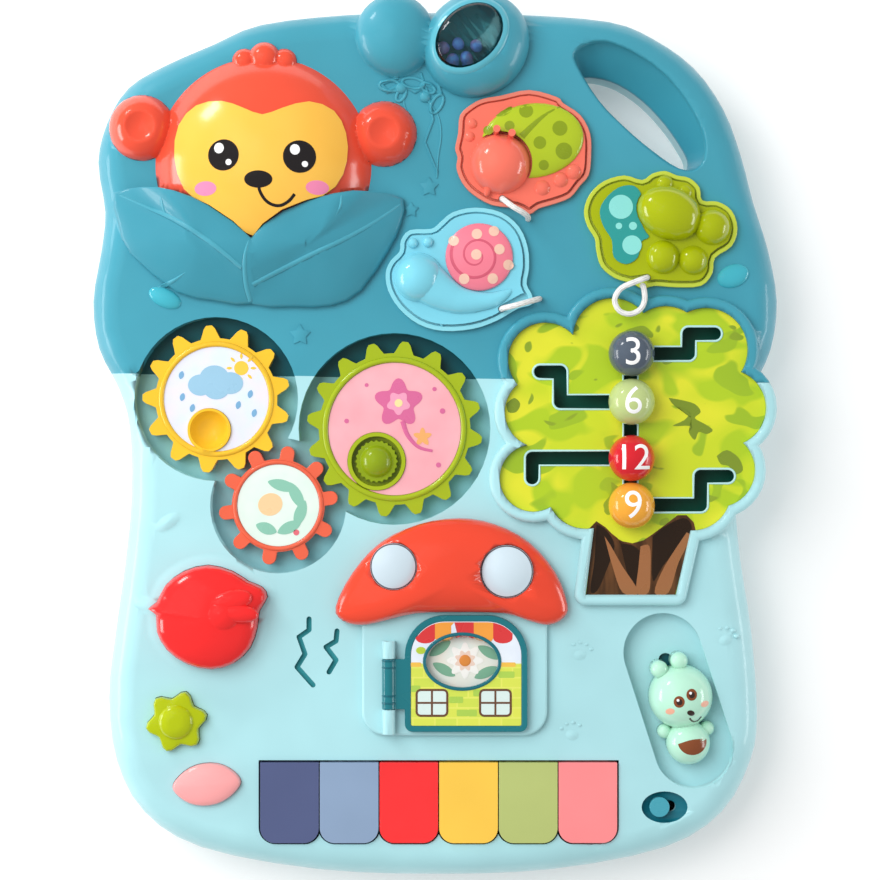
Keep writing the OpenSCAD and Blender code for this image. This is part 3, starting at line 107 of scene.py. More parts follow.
def soft_box(place, size, power, mirrored=True):
    """A rectangular studio lamp at place, aimed at the deck; glossy faces show it where mirrored."""
    bpy.ops.object.light_add(type="AREA", location=place)
    lamp = bpy.context.object
    aim = Vector((0, 0, DECK_Z)) - Vector(place)
    lamp.rotation_euler = aim.to_track_quat("-Z", "Y").to_euler()
    lamp.data.shape = "RECTANGLE"
    lamp.data.size = size[0]
    lamp.data.size_y = size[1]
    lamp.data.energy = power
    lamp.visible_glossy = mirrored


# Brightness of the pale room as it falls on the object, and as glossy faces mirror it
ROOM_LEVEL = 0.544
MIRRORED_LEVEL = 0.16
# How far the table lies under the feet
FLOOR_GAP = 0.2 * MM


def light_studio():
    """A pale room: white to the camera, dim in reflections, and a soft level on the object."""
    world = bpy.data.worlds.new("studio")
    bpy.context.scene.world = world
    world.use_nodes = True
    tree = world.node_tree
    tree.nodes.clear()
    path = add_node(tree, "LightPath")
    seen = add_node(tree, "Math", {0: path.outputs["Is Camera Ray"], 1: path.outputs["Is Transmission Ray"]},
                    operation="MAXIMUM")
    mirrored = add_node(tree, "MapRange", {"Value": path.outputs["Is Glossy Ray"], "To Min": ROOM_LEVEL,
                                           "To Max": MIRRORED_LEVEL})
    level = add_node(tree, "Math", {0: mirrored.outputs[0], 1: seen.outputs[0]}, operation="MAXIMUM")
    sky = add_node(tree, "Background", {"Color": linear("#FFFFFF"), "Strength": level.outputs[0]})
    add_node(tree, "OutputWorld", {"Surface": sky.outputs[0]})
    soft_box((-0.8, 0.48, 1.35), (1.2, 1.2), 21.0, mirrored=False)
    soft_box((-0.9, 1.0, 0.5), (0.3, 0.2), 2.5)
    soft_box((-1.3, -0.05, 0.24), (0.8, 0.26), 4.0)
    soft_box((1.3, -0.1, 0.24), (0.8, 0.22), 3.0)


def lay_floor():
    """White table under the panel, which glows a little so that it stays white where the panel shades it."""
    bpy.ops.mesh.primitive_plane_add(size=6, location=(0, 0, CAD_BOX[0][2] - FLOOR_GAP))
    floor = bpy.context.object
    floor.name = "floor"
    paint, tree, where = new_finish("white_paper")
    mottle = add_node(tree, "TexNoise", {"Vector": where, "Scale": 20.0})
    tone = tinted(tree, mottle.outputs["Fac"], linear("#EBEBEB"), linear("#E8E9E9"))
    shade = add_node(tree, "BsdfPrincipled", {"Base Color": tone, "Roughness": 0.9, "Specular IOR Level": 0.1,
                                              "Emission Color": linear("#FFFFFF"), "Emission Strength": 0.2})
    floor.data.materials.append(close_finish(paint, tree, shade))


# ---- Finishes ----
def new_finish(name):
    """An empty material with its node tree and its object coordinates."""
    finish = bpy.data.materials.new(name)
    finish.use_nodes = True
    tree = finish.node_tree
    tree.nodes.clear()
    coords = add_node(tree, "TexCoord")
    return finish, tree, coords.outputs["Object"]


def close_finish(finish, tree, shade):
    """Joins the shader to the material's output."""
    add_node(tree, "OutputMaterial", {"Surface": shade.outputs[0]})
    return finish


def grit_bump(tree, where, grain, strength):
    """Height of a spark-eroded mould face: grain is its texture size in millimetres."""
    grit = add_node(tree, "TexNoise", {"Vector": where, "Scale": 1 / (grain * MM), "Detail": 3.0})
    return add_node(tree, "Bump", {"Height": grit.outputs["Fac"], "Strength": strength, "Distance": 0.1 * MM})


def varied(tree, where, size, low, high):
    """A slow change between two values over patches of the given size in millimetres."""
    cloud = add_node(tree, "TexNoise", {"Vector": where, "Scale": 1 / (size * MM), "Detail": 2.0})
    return add_node(tree, "MapRange", {"Value": cloud.outputs["Fac"], "From Min": 0.3, "From Max": 0.7,
                                       "To Min": low, "To Max": high}).outputs[0]


def tinted(tree, factor, first, second):
    """Colour between two colours or sockets by a factor."""
    return add_node(tree, "Mix", {0: factor, 6: first, 7: second}, data_type="RGBA").outputs[2]


def moulded_abs(name, colour, rough=0.24, grit=0.05, coat=0.35, deep=None):
    """Injection-moulded ABS: even colour with faint flow clouds, a tight gloss and a trace of mould grit."""
    finish, tree, where = new_finish(name)
    cloud = varied(tree, where, 38, 0.0, 1.0)
    tone = tinted(tree, cloud, linear(colour), linear(deep) if deep else shaded(colour, 0.93))
    gloss = varied(tree, where, 9, rough * 0.85, rough * 1.15)
    bump = grit_bump(tree, where, 0.5, grit)
    shade = add_node(tree, "BsdfPrincipled", {
        "Base Color": tone, "Roughness": gloss, "Normal": bump.outputs[0], "IOR": 1.53,
        "Coat Weight": coat, "Coat Roughness": 0.08})
    return close_finish(finish, tree, shade)


def print_coated(name, tone_of, rough=0.3):
    """Printed film under clear lacquer: tone_of(tree, where) gives its artwork's colour socket."""
    finish, tree, where = new_finish(name)
    tone = tone_of(tree, where)
    bump = grit_bump(tree, where, 0.8, 0.03)
    shade = add_node(tree, "BsdfPrincipled", {
        "Base Color": tone, "Roughness": rough, "Normal": bump.outputs[0], "IOR": 1.5,
        "Coat Weight": 0.5, "Coat Roughness": 0.06})
    return close_finish(finish, tree, shade)


def rolled_steel(name, colour):
    """Plated steel: metallic, brushed round its axis by the rolling."""
    finish, tree, where = new_finish(name)
    stretch = add_node(tree, "Mapping", {"Vector": where, "Scale": (1.0, 12.0, 1.0)})
    streaks = add_node(tree, "TexNoise", {"Vector": stretch.outputs[0], "Scale": 1 / (0.6 * MM)})
    gloss = add_node(tree, "MapRange", {"Value": streaks.outputs["Fac"], "To Min": 0.25, "To Max": 0.45})
    shade = add_node(tree, "BsdfPrincipled", {
        "Base Color": linear(colour), "Metallic": 1.0, "Roughness": gloss.outputs[0]})
    return close_finish(finish, tree, shade)


def moulded_rubber(name, colour):
    """Soft moulded rubber: matt, slightly dusty."""
    finish, tree, where = new_finish(name)
    dust = varied(tree, where, 4, 0.0, 1.0)
    tone = tinted(tree, dust, linear(colour), shaded(colour, 1.2))
    bump = grit_bump(tree, where, 0.7, 0.15)
    shade = add_node(tree, "BsdfPrincipled", {
        "Base Color": tone, "Roughness": 0.75, "Normal": bump.outputs[0]})
    return close_finish(finish, tree, shade)


def smoked_styrene(name, colour):
    """Clear tinted polystyrene dome, polished."""
    finish, tree, where = new_finish(name)
    bump = grit_bump(tree, where, 6, 0.04)
    shade = add_node(tree, "BsdfPrincipled", {
        "Base Color": linear(colour), "Roughness": 0.03, "Transmission Weight": 1.0, "IOR": 1.3,
        "Coat Weight": 0.5, "Coat Roughness": 0.02, "Normal": bump.outputs[0]})
    return close_finish(finish, tree, shade)


def braided_cotton(name, colour, plait):
    """Braided cotton cord: plait is the pitch of its strands in millimetres, drawn coarse enough to show; it
    is painted darker where the strands dip, as painted shade between them.
    """
    finish, tree, where = new_finish(name)
    coords = add_node(tree, "TexCoord")
    strands = []
    for lean in (-1, 1):
        turned = add_node(tree, "Mapping", {"Vector": coords.outputs["UV"], "Rotation": (0, 0, lean * 0.9)})
        strands.append(add_node(tree, "TexWave", {"Vector": turned.outputs[0], "Scale": plait}))
    height = add_node(tree, "Math", {0: strands[0].outputs["Fac"], 1: strands[1].outputs["Fac"]},
                      operation="MAXIMUM").outputs[0]
    fibre = add_node(tree, "TexNoise", {"Vector": where, "Scale": 1 / (0.25 * MM)})
    bump = add_node(tree, "Bump", {"Height": height, "Strength": 0.8, "Distance": 0.3 * MM})
    fuzz = add_node(tree, "Bump", {"Height": fibre.outputs["Fac"], "Strength": 0.3, "Distance": 0.1 * MM,
                                   "Normal": bump.outputs[0]})
    # Painted shade: the cord is darker where the strands dip between each other.
    tone = tinted(tree, height, shaded(colour, 0.72), linear(colour))
    shade = add_node(tree, "BsdfPrincipled", {
        "Base Color": tone, "Roughness": 0.85, "Normal": fuzz.outputs[0], "Sheen Weight": 0.3})
    return close_finish(finish, tree, shade)


# ---- Shaping helpers ----
# Degrees between two faces from which their edge counts as sharp
SHARP_ANGLE = 38


def activate(piece):
    """Makes piece the one selected and active object."""
    bpy.ops.object.select_all(action="DESELECT")
    piece.select_set(True)
    bpy.context.view_layer.objects.active = piece


def settle(piece):
    """Applies place, turn and scale, so that the piece's object lies at the origin."""
    activate(piece)
    bpy.ops.object.transform_apply(location=True, rotation=True, scale=True)


def apply_all(piece):
    """Applies the piece's modifiers in their order."""
    activate(piece)
    for modifier in list(piece.modifiers):
        bpy.ops.object.modifier_apply(modifier=modifier.name)


def body_of(node):
    """The moving body that a CAD node belongs to."""
    for body, nodes in frame["record"]["behaviour"]["bodies"].items():
        if node in nodes:
            return body
    return "panel"


def even_normals(piece):
    """Keeps the shading of large flat faces flat where small rounded faces meet them."""
    even = piece.modifiers.new("even", "WEIGHTED_NORMAL")
    even.mode = "FACE_AREA"
    even.keep_sharp = True
    apply_all(piece)


def accent(piece, finish, chosen):
    """Paints the faces whose centres are chosen in a second finish."""
    piece.data.materials.append(finish)
    slot = len(piece.data.materials) - 1
    for face in piece.data.polygons:
        if chosen(face.center):
            face.material_index = slot


def finish_piece(piece, name, finish, node, smooth=35, replaces=False):
    """Names, paints and smooths a piece and lets it ride with the body of a CAD node."""
    settle(piece)
    piece.name = name
    piece.data.name = name
    piece.data.materials.clear()
    piece.data.materials.append(finish)
    bpy.ops.object.shade_smooth_by_angle(angle=math.radians(smooth))
    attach(piece, body_of(node))
    if replaces:
        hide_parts(node)
    return piece


def twin(source):
    """An object's own copy, mesh and all, at the frame's origin."""
    piece = source.copy()
    piece.data = source.data.copy()
    bpy.context.collection.objects.link(piece)
    piece.parent = None
    piece.matrix_world = Matrix.Identity(4)
    return piece


def copied(node, flat):
    """A merged copy of a CAD node, ready to be worked on; where flat, its flat faces are made whole."""
    piece = twin(frame["nodes"][node])
    activate(piece)
    bpy.ops.object.mode_set(mode="EDIT")
    bpy.ops.mesh.select_all(action="SELECT")
    bpy.ops.mesh.remove_doubles(threshold=0.002 * MM)
    if flat:
        bpy.ops.mesh.dissolve_limited(angle_limit=math.radians(0.6))
    bpy.ops.object.mode_set(mode="OBJECT")
    return piece


def soften(piece, radius):
    """Rounds the piece's sharp edges: radius in millimetres."""
    edge = piece.modifiers.new("edges", "BEVEL")
    edge.width = radius * MM
    edge.segments = 2
    edge.limit_method = "ANGLE"
    edge.angle_limit = math.radians(SHARP_ANGLE)
    edge.use_clamp_overlap = True
    edge.miter_outer = "MITER_ARC"
    apply_all(piece)


def dress(node, finish, radius=0.0, smooth=35):
    """Replaces a CAD node by its copy, with its edges rounded by radius millimetres."""
    piece = copied(node, radius > 0)
    if radius:
        soften(piece, radius)
    finish_piece(piece, node + "_part", finish, node, smooth, replaces=True)
    even_normals(piece)
    return piece


# ---- Printed and raised artwork ----
def millimetres(x, y):
    """A place on the deck from millimetres."""
    return Vector((x * MM, y * MM))


# The artwork is laid out in pixels of the 880-pixel view: the pixel over the frame's origin, and its size
VIEW_ORIGIN = (435, 436)
VIEW_PIXEL = 0.5 * MM


def deck_point(u, v):
    """Deck position of pixel u, v of the view."""
    return Vector(((u - VIEW_ORIGIN[0]) * VIEW_PIXEL, (VIEW_ORIGIN[1] - v) * VIEW_PIXEL))


def oval(centre, half_long, half_wide, turn=0.0, count=32, pointed=1.0):
    """Outline of an ellipse, or of a leaf where pointed is above 1: sizes in metres, turn in degrees."""
    lean = math.radians(turn)
    points = []
    for k in range(count):
        angle = 2 * math.pi * k / count
        x, aside = half_long * math.cos(angle), math.sin(angle)
        y = half_wide * (math.copysign(abs(aside) ** pointed, aside) if pointed > 1 else aside)
        points.append(centre + Vector((x * math.cos(lean) - y * math.sin(lean),
                                       x * math.sin(lean) + y * math.cos(lean))))
    return points


def leaf_outline(centre, half_long, half_wide, turn=0.0, count=36):
    """Outline of a leaf that is pointed at both ends: sizes in metres, turn in degrees."""
    return oval(centre, half_long, half_wide, turn, count, pointed=1.5)


def lobed(centre, radius, lobes, depth, turn=0.0, count=60, sharp=1.0):
    """Outline with rounded lobes, as of a flower, or with points where sharp is above 1."""
    points = []
    for k in range(count):
        angle = 2 * math.pi * k / count
        wave = math.cos(lobes * (angle - math.radians(turn)))
        swell = 1 + depth * math.copysign(abs(wave) ** (1 / sharp), wave)
        points.append(centre + radius * swell * Vector((math.cos(angle), math.sin(angle))))
    return points


def surface_of(node):
    """Height of a dressed node's upper side over a point, taken straight down."""
    piece = bpy.data.objects[node + "_part"]
    bpy.context.view_layer.update()
    above = 0.25

    def height(x, y):
        """Height over x, y, looked for a little further off where the point misses the piece."""
        for step in (0.0, 0.3, 0.6, 1.2):
            for dx, dy in ((0, 0), (step, 0), (-step, 0), (0, step), (0, -step)):
                hit, place, _, _ = piece.ray_cast((x + dx * MM, y + dy * MM, above), (0, 0, -1))
                if hit:
                    return place.z
        return DECK_Z
    return height


def thicken(piece, wall):
    """Gives a sheet a wall, in millimetres, below its face."""
    solid = piece.modifiers.new("wall", "SOLIDIFY")
    solid.thickness = wall * MM
    solid.offset = -1
    apply_all(piece)


def patch(name, outline, height, finish, node, lift=0.12, rings=5, thick=0.5, crown=0.0):
    """A thin printed shape laid on a surface: outline is seen from above, height gives what it lies on.

    lift is how far its face stands up and crown how much more its middle does, in millimetres."""
    count = len(outline)
    sides = [(a, b, a.cross(b)) for a, b in zip(outline, outline[1:] + outline[:1])]
    area = sum(twice for _, _, twice in sides)
    centre = sum(((a + b) * twice for a, b, twice in sides), Vector((0, 0))) / (3 * area)
    if area < 0:
        outline = outline[::-1]
    bpy.ops.mesh.primitive_circle_add(vertices=count, radius=1, fill_type="NGON")
    bpy.ops.object.mode_set(mode="EDIT")
    for _ in range(rings):
        bpy.ops.mesh.inset(thickness=1 / (rings + 1))
    bpy.ops.mesh.poke()
    bpy.ops.object.mode_set(mode="OBJECT")
    piece = bpy.context.object
    for vertex in piece.data.vertices:
        reach = math.hypot(vertex.co.x, vertex.co.y)
        turn = math.atan2(vertex.co.y, vertex.co.x) % (2 * math.pi)
        rim = outline[math.floor(turn / (2 * math.pi) * count + 0.2) % count]
        flat = centre + (rim - centre) * min(reach, 1)
        rise = lift + crown * math.sqrt(max(0.0, 1 - reach * reach))
        vertex.co = (flat.x, flat.y, height(flat.x, flat.y) + rise * MM)
    thicken(piece, thick)
    return finish_piece(piece, name, finish, node, smooth=45)


def smooth_line(points, steps=6):
    """Points of the smooth curve through the given points."""
    line = []
    for i in range(len(points) - 1):
        a, b = points[max(i - 1, 0)], points[i]
        c, d = points[i + 1], points[min(i + 2, len(points) - 1)]
        for k in range(steps):
            t = k / steps
            line.append(0.5 * (2 * b + (c - a) * t + (2 * a - 5 * b + 4 * c - d) * t * t
                               + (3 * b - a - 3 * c + d) * t * t * t))
    line.append(points[-1])
    return line


def rod(points, radius, closed=False, sides=2, taper=None):
    """A round bar along the points, as a mesh: radius in metres."""
    data = bpy.data.curves.new("bar", "CURVE")
    data.dimensions = "3D"
    data.bevel_depth = radius
    data.bevel_resolution = sides
    data.use_fill_caps = True
    line = data.splines.new("POLY")
    line.points.add(len(points) - 1)
    for k, place in enumerate(points):
        line.points[k].co = (*place, 1)
        line.points[k].radius = taper(k / (len(points) - 1)) if taper else 1
    line.use_cyclic_u = closed
    piece = bpy.data.objects.new("bar", data)
    bpy.context.collection.objects.link(piece)
    activate(piece)
    bpy.ops.object.convert(target="MESH")
    return bpy.context.object


def stroke(name, points, width, height, finish, node, lift=0.1, flat=0.2, taper=None, closed=False):
    """A painted or moulded line on a surface: width in millimetres, flat is how oval its section is."""
    line = smooth_line(points) if not closed else points
    bar = rod([(p.x, p.y, 0) for p in line], width / 2 * MM, closed=closed, taper=taper)
    for vertex in bar.data.vertices:
        x, y, z = vertex.co
        vertex.co.z = height(x, y) + lift * MM + z * flat
    return finish_piece(bar, name, finish, node, smooth=60)


def lettered(name, text, centre, size, height, finish, node, bold=0.035, lift=0.08):
    """A printed number, bent over the surface that it is printed on: size in millimetres."""
    bpy.ops.object.text_add(location=(0, 0, 0))
    piece = bpy.context.object
    piece.data.body = text
    piece.data.align_x = "CENTER"
    piece.data.align_y = "CENTER"
    piece.data.size = size * MM
    piece.data.offset = bold * size * MM
    piece.data.resolution_u = 6
    bpy.ops.object.convert(target="MESH")
    piece = bpy.context.object
    bpy.ops.object.mode_set(mode="EDIT")
    bpy.ops.mesh.select_all(action="SELECT")
    bpy.ops.mesh.remove_doubles(threshold=0.01 * MM)
    bpy.ops.mesh.quads_convert_to_tris()
    bpy.ops.mesh.subdivide(number_cuts=8)
    bpy.ops.object.mode_set(mode="OBJECT")
    for vertex in piece.data.vertices:
        x, y = vertex.co.x + centre.x, vertex.co.y + centre.y
        vertex.co = (x, y, height(x, y) + lift * MM)
    thicken(piece, 0.4)
    return finish_piece(piece, name, finish, node, smooth=45)


# ---- Cords ----
CORD_DIAMETER = 2.8 * MM
# Routes from inside the animal's edge up, over and back down into its tray, in millimetres, with real lengths
CORDS = {
    "ladybug": (0.036, [
        (33.5, 118, 46), (33.5, 118, 51.5), (34.5, 116.5, 56.5), (38, 113.5, 59), (42.5, 111, 57.5),
        (45.5, 109.5, 53), (46.5, 108.6, 48), (46.5, 108.4, 44.1)]),
    "snail": (0.037, [
        (33.3, 63.2, 46), (33.3, 63.2, 51), (34.5, 63.4, 55.5), (38.5, 64.2, 58), (43.5, 65.6, 57.5),
        (48, 67, 54), (51.5, 68.2, 49.5), (52.3, 68.6, 44.1)]),
    "butterfly": (0.063, [
        (105.5, 78.8, 46), (105.5, 78.8, 51), (103.5, 78, 55), (98.5, 76, 56.5), (92, 73, 56),
        (89, 67.5, 54.5), (91.5, 62, 53.7), (97, 60.5, 53.4), (102, 63, 53.2), (104, 67.5, 53.2),
        (103.8, 72, 53), (103.4, 74.6, 51), (103.4, 74.8, 47.5)]),
}


def lay_cords():
    """The three short cords that tie the animals to the panel, at rest."""
    cotton = braided_cotton("cotton_cord", "#F7F7F5", 3.0)
    for animal, (length, route) in CORDS.items():
        line = [point * MM for point in smooth_line([Vector(p) for p in route], 3)]
        piece = rod(line, CORD_DIAMETER / 2, sides=4)
        finish_piece(piece, animal + "_cord_braid", cotton, animal + "_cord", smooth=60, replaces=True)


# ---- Dressed copies of the moulded pieces ----
# node: (colour, edge radius in millimetres, roughness)
MOULDED = {
    "upper_cover": ("#429FB4", 0.0, 0.42),
    "lower_cover": ("#B0E3E9", 0.0, 0.42),
    "base_tray": ("#B0E3E9", 0.0, 0.4),
    "battery_door": ("#9FD5DC", 0.3, 0.4),
    "monkey_head": ("#F0553C", 0.0, 0.17),
    "leaf_collar": ("#3C97AC", 0.0, 0.42),
    "rattle_cup": ("#0E5F6E", 0.0, 0.3),
    "ladybug_tray": ("#EE8773", 0.5, 0.25),
    "snail_tray": ("#8FDDEB", 0.5, 0.25),
    "butterfly_tray": ("#C8D746", 0.5, 0.25),
    "gear_posts": ("#0E6A7C", 0.0, 0.35),
    "mushroom_cap": ("#F04B32", 0.0, 0.17),
    "cap_spots": ("#CFE0EA", 0.0, 0.17),
    "yellow_gear": ("#FCC832", 1.4, 0.2),
    "orange_gear": ("#F0694B", 1.4, 0.2),
    "green_gear": ("#A8BB1E", 1.4, 0.2),
    "spinner_knob": ("#8FA616", 0.3, 0.2),
    "ball_3": ("#55606E", 0.0, 0.14),
    "ball_6": ("#BFD08A", 0.0, 0.14),
    "ball_12": ("#D8232F", 0.0, 0.14),
    "ball_9": ("#F2A93B", 0.0, 0.14),
    "bird_button": ("#FA2D2D", 0.0, 0.15),
    "star_button": ("#B4C30A", 0.3, 0.15),
    "lemon_button": ("#FFAAAA", 0.0, 0.2),
    "power_switch": ("#49A7B9", 0.4, 0.25),
    "bear_slider": ("#BEF0D7", 0.0, 0.16),
    "key_1": ("#566088", 1.0, 0.2),
    "key_2": ("#8FA6C4", 1.0, 0.2),
    "key_3": ("#FB3537", 1.0, 0.2),
    "key_4": ("#FCCB4E", 1.0, 0.2),
    "key_5": ("#B9C578", 1.0, 0.2),
    "key_6": ("#FF9092", 1.0, 0.2),
    "house_door": ("#1E7882", 0.4, 0.25),
    "ladybug_body": ("#FA7864", 0.5, 0.15),
    "ladybug_shell": ("#B4C828", 0.0, 0.2),
    "snail_body": ("#82D7EB", 0.5, 0.15),
    "snail_shell": ("#F58296", 0.0, 0.2),
    "butterfly_body": ("#AAB70A", 0.5, 0.15),
    "butterfly_wing": ("#2F9E9A", 0.2, 0.25),
}
# Recess of the power switch: its middle and half sizes in millimetres
SWITCH_RECESS = ((114.8, -185.6), (11.6, 8.0))
# Middles of the three gears, the radii of their wells and the wells' depth, in millimetres
GEAR_CENTRES = {"yellow": (-109.5, 18.5), "orange": (-78.48, -34.77), "green": (-20.25, 3.5)}
WELL_RADII = {"yellow": 41.5, "orange": 34.5, "green": 48.5}
WELL_DEPTH = 12.0
# Depth of the recess that the tree plate covers, and how far its floor reaches past the plate
MAZE_DEPTH = 9.5
MAZE_MARGIN = 4.5
# Box round the speaker's slots: its two corners in millimetres
SLOT_BOX = ((-75, -130), (-44, -88))


def below_deck(place, depth):
    """Whether a place lies under the deck and no more than depth millimetres."""
    return -depth - 0.2 < (place.z - DECK_Z) / MM < -0.1


def in_slots(place):
    """Whether a place lies in the speaker's slots."""
    (x0, y0), (x1, y1) = SLOT_BOX
    return x0 * MM < place.x < x1 * MM and y0 * MM < place.y < y1 * MM and below_deck(place, 2.2)


def in_switch_recess(place):
    """Whether a place lies in the recess of the power switch."""
    (x, y), (a, b) = SWITCH_RECESS
    return ((place.x / MM - x) / a) ** 2 + ((place.y / MM - y) / b) ** 2 < 1 and below_deck(place, 4)


def gear_centre(gear):
    """The middle of a gear, by its colour."""
    return Vector(GEAR_CENTRES[gear]) * MM


def in_gear_wells(place):
    """Whether a place lies in one of the gears' wells."""
    return below_deck(place, WELL_DEPTH) and any(
        (place.xy - gear_centre(gear)).length < radius * MM for gear, radius in WELL_RADII.items())


def in_maze(place):
    """Whether a place lies in the recess that the tree plate covers."""
    _, nearest, _, _ = frame["nodes"]["tree_plate"].closest_point_on_mesh(place)
    return below_deck(place, MAZE_DEPTH) and (nearest.xy - place.xy).length < MAZE_MARGIN * MM


# Smallest area, in square millimetres, of the level faces at one height that count as a floor
FLOOR_AREA = 1500


def level_flats(piece):
    """Shades the corners of the piece's level faces level, so no creases cross its wide floors."""
    mesh = piece.data
    floors = {}
    for face in mesh.polygons:
        if abs(face.normal.z) > 0.99999:
            floors.setdefault((round(face.center.z / MM, 1), face.normal.z > 0), []).append(face)
    on_floor = {True: set(), False: set()}
    for (_, upward), faces in floors.items():
        if sum(face.area for face in faces) > FLOOR_AREA * MM * MM:
            for face in faces:
                on_floor[upward].update(face.vertices)
    near_level = math.cos(math.radians(SHARP_ANGLE))
    normals = [corner.vector.copy() for corner in mesh.corner_normals]
    for face in mesh.polygons:
        upward = face.normal.z > 0
        if abs(face.normal.z) > near_level:
            for corner in face.loop_indices:
                if mesh.loops[corner].vertex_index in on_floor[upward]:
                    normals[corner] = Vector((0, 0, 1 if upward else -1))
    mesh.normals_split_custom_set(normals)


def dress_mouldings():
    """Every moulded node as a softened copy; the gear wells and the floor under the tree plate are painted
    darker as painted shade, and the switch recess and speaker slots are painted in darker teal.
    """
    for node, (colour, radius, rough) in MOULDED.items():
        finish = moulded_abs("abs_" + node, colour, rough=rough)
        dress(node, finish, radius)
    upper, lower = (bpy.data.objects[name] for name in ("upper_cover_part", "lower_cover_part"))
    # The floor under the tree plate is painted dark green: painted shade of the recess seen through the
    # plate's slots.
    maze = moulded_abs("abs_maze_floor_painted_shade", "#0B5F4E", rough=0.5, coat=0.0)
    for cover in (upper, lower):
        level_flats(cover)
        accent(cover, maze, in_maze)
    level_flats(bpy.data.objects["base_tray_part"])
    # The gear wells are painted darker than their decks: painted shade in the wells.
    accent(upper, moulded_abs("abs_upper_wells_painted_shade", "#0C5F6C", rough=0.4), in_gear_wells)
    accent(lower, moulded_abs("abs_lower_wells_painted_shade", "#93D0D8", rough=0.4), in_gear_wells)
    accent(lower, moulded_abs("abs_switch_recess", "#13788A", rough=0.4), in_switch_recess)
    accent(lower, moulded_abs("abs_speaker_slots", "#3E9AA0", rough=0.5), in_slots)


# ---- Monkey and leaves ----
# Printed features of the face in pixels of the view; the eyes with their radii in millimetres
EYES = (("left", (228, 161), 7.7), ("right", (302.5, 162.5), 8.0))
CHEEKS = (("left", (209.5, 193)), ("right", (319.5, 192)))
NOSE = (262.4, 185)
SMILE = ((262.5, 190), (264, 197), (269, 205), (276, 209.5), (284, 210), (292, 205.5), (297.5, 199))


def paint_monkey():
    """Printed eyes, nose, cheeks and smile on the face panel."""
    black = moulded_abs("pad_ink_black", "#231F20", rough=0.2, grit=0.02)
    white = moulded_abs("pad_ink_white", "#FFFFFF", rough=0.2, grit=0.02)
    blush = moulded_abs("pad_ink_pink", "#F98DB6", rough=0.3, grit=0.02)
    face = moulded_abs("abs_face", "#FEC452", rough=0.2, deep="#F9BC48")
    dress("monkey_face", face, 0.25)
    top = surface_of("monkey_face")
    for side, (u, v), radius in EYES:
        eye = deck_point(u, v)
        patch("eye_" + side, oval(eye, radius * MM, radius * MM), top, black, "monkey_face")
        patch("eye_glint_" + side, oval(eye + Vector((-2.2, 3.4)) * MM, 2.4 * MM, 2.6 * MM), top, white,
              "monkey_face", lift=0.2)
        patch("eye_spark_" + side, oval(eye + Vector((2.6, -3.6)) * MM, 1.5 * MM, 1.5 * MM), top, white,
              "monkey_face", lift=0.2)
    patch("nose", oval(deck_point(*NOSE), 6.9 * MM, 4.2 * MM), top, black, "monkey_face", crown=0.3)
    for side, (u, v) in CHEEKS:
        patch("cheek_" + side, oval(deck_point(u, v), 5.6 * MM, 3.5 * MM), top, blush, "monkey_face",
              lift=0.06)
    smile = [deck_point(u, v) for u, v in SMILE]
    stroke("smile", smile, 1.5, top, black, "monkey_face")


# Veins of the leaves, and the short ribs in the notches of their edges with their widths: pixels of the view
LEAF_VEINS = {
    "vein_left": ((118, 195), (150, 209), (179, 223), (212, 244), (244, 270)),
    "vein_right": ((403, 203), (376, 223), (342, 243), (298, 264), (254, 286)),
    "vein_middle": ((252, 243), (248.5, 256), (247, 270), (247.5, 286), (251, 302)),
}
LEAF_NOTCHES = (
    ("notch_left_low", ((152, 290), (172, 283), (190, 272)), 1.6),
    ("notch_left_high", ((164, 200), (166, 210), (170, 222)), 1.0),
    ("notch_right_high", ((343, 199), (342, 210), (336, 222)), 1.0))


def raise_veins():
    """Midribs from each leaf's tip to the fold between the leaves, and the ribs in the leaves' notches: these
    are lighter than the leaves as a painted highlight, and a darker line beside each midrib is painted shade
    in the crease.
    """
    # Lighter teal of the midribs and notch ribs: a painted highlight on the ridges.
    green = moulded_abs("abs_leaf_veins", "#4BA6BA", rough=0.36)
    # Darker teal of the lines beside the midribs: painted shade in the leaves' creases.
    shade = moulded_abs("abs_leaf_folds", "#2C8094", rough=0.5)
    top = surface_of("leaf_collar")
    for name, pixels in LEAF_VEINS.items():
        line = [deck_point(u, v) for u, v in pixels]
        stroke(name, line, 2.8, top, green, "leaf_collar", lift=-0.25, flat=0.6,
               taper=lambda t: 0.3 + 1.3 * t * (1 - t) + 0.5 * t)
        aside = Vector((-1.1, -0.2) if name == "vein_middle" else (0, -1.3)) * MM
        stroke(name.replace("vein", "fold"), [p + aside for p in line], 1.3, top, shade, "leaf_collar",
               lift=-0.1, flat=0.25, taper=lambda t: 0.3 + 1.3 * t * (1 - t) + 0.4 * t)
    for name, pixels, width in LEAF_NOTCHES:
        stroke(name, [deck_point(u, v) for u, v in pixels], width, top, green, "leaf_collar",
               lift=-0.1, flat=0.8, taper=lambda t: 0.15 + 1.2 * math.sin(math.pi * min(1, t + 0.1)))


# ---- Printed discs of the gears ----
def plain(name, colour, rough=0.3):
    """One ink of a lacquered print."""
    return moulded_abs(name, colour, rough=rough, grit=0.02, coat=0.5)


def on_gear(gear, x, y):
    """A place on a gear's disc, in millimetres from its middle."""
    return gear_centre(gear) + Vector((x, y)) * MM


def soft_wash(first, second, size):
    """Artwork ground: two tints that run softly into each other over size millimetres."""
    def tone_of(tree, where):
        """The ground's colour."""
        return tinted(tree, varied(tree, where, size, 0, 1), linear(first), linear(second))
    return tone_of


def gear_rims():
    """Raised rims round the printed discs."""
    for gear, radius, width, colour in (
            ("yellow", 27.5, 2.8, "#F7C433"), ("orange", 21.6, 2.2, "#F0694B"),
            ("green", 34.7, 3.0, "#A8BB1E")):
        node = gear + "_gear"
        ring = oval(gear_centre(gear), radius * MM, radius * MM, 0, 96)
        stroke("rim_" + node, ring, width, surface_of(node), plain("abs_rim_" + node, colour, rough=0.2),
               node, lift=0.1, flat=0.75, closed=True)


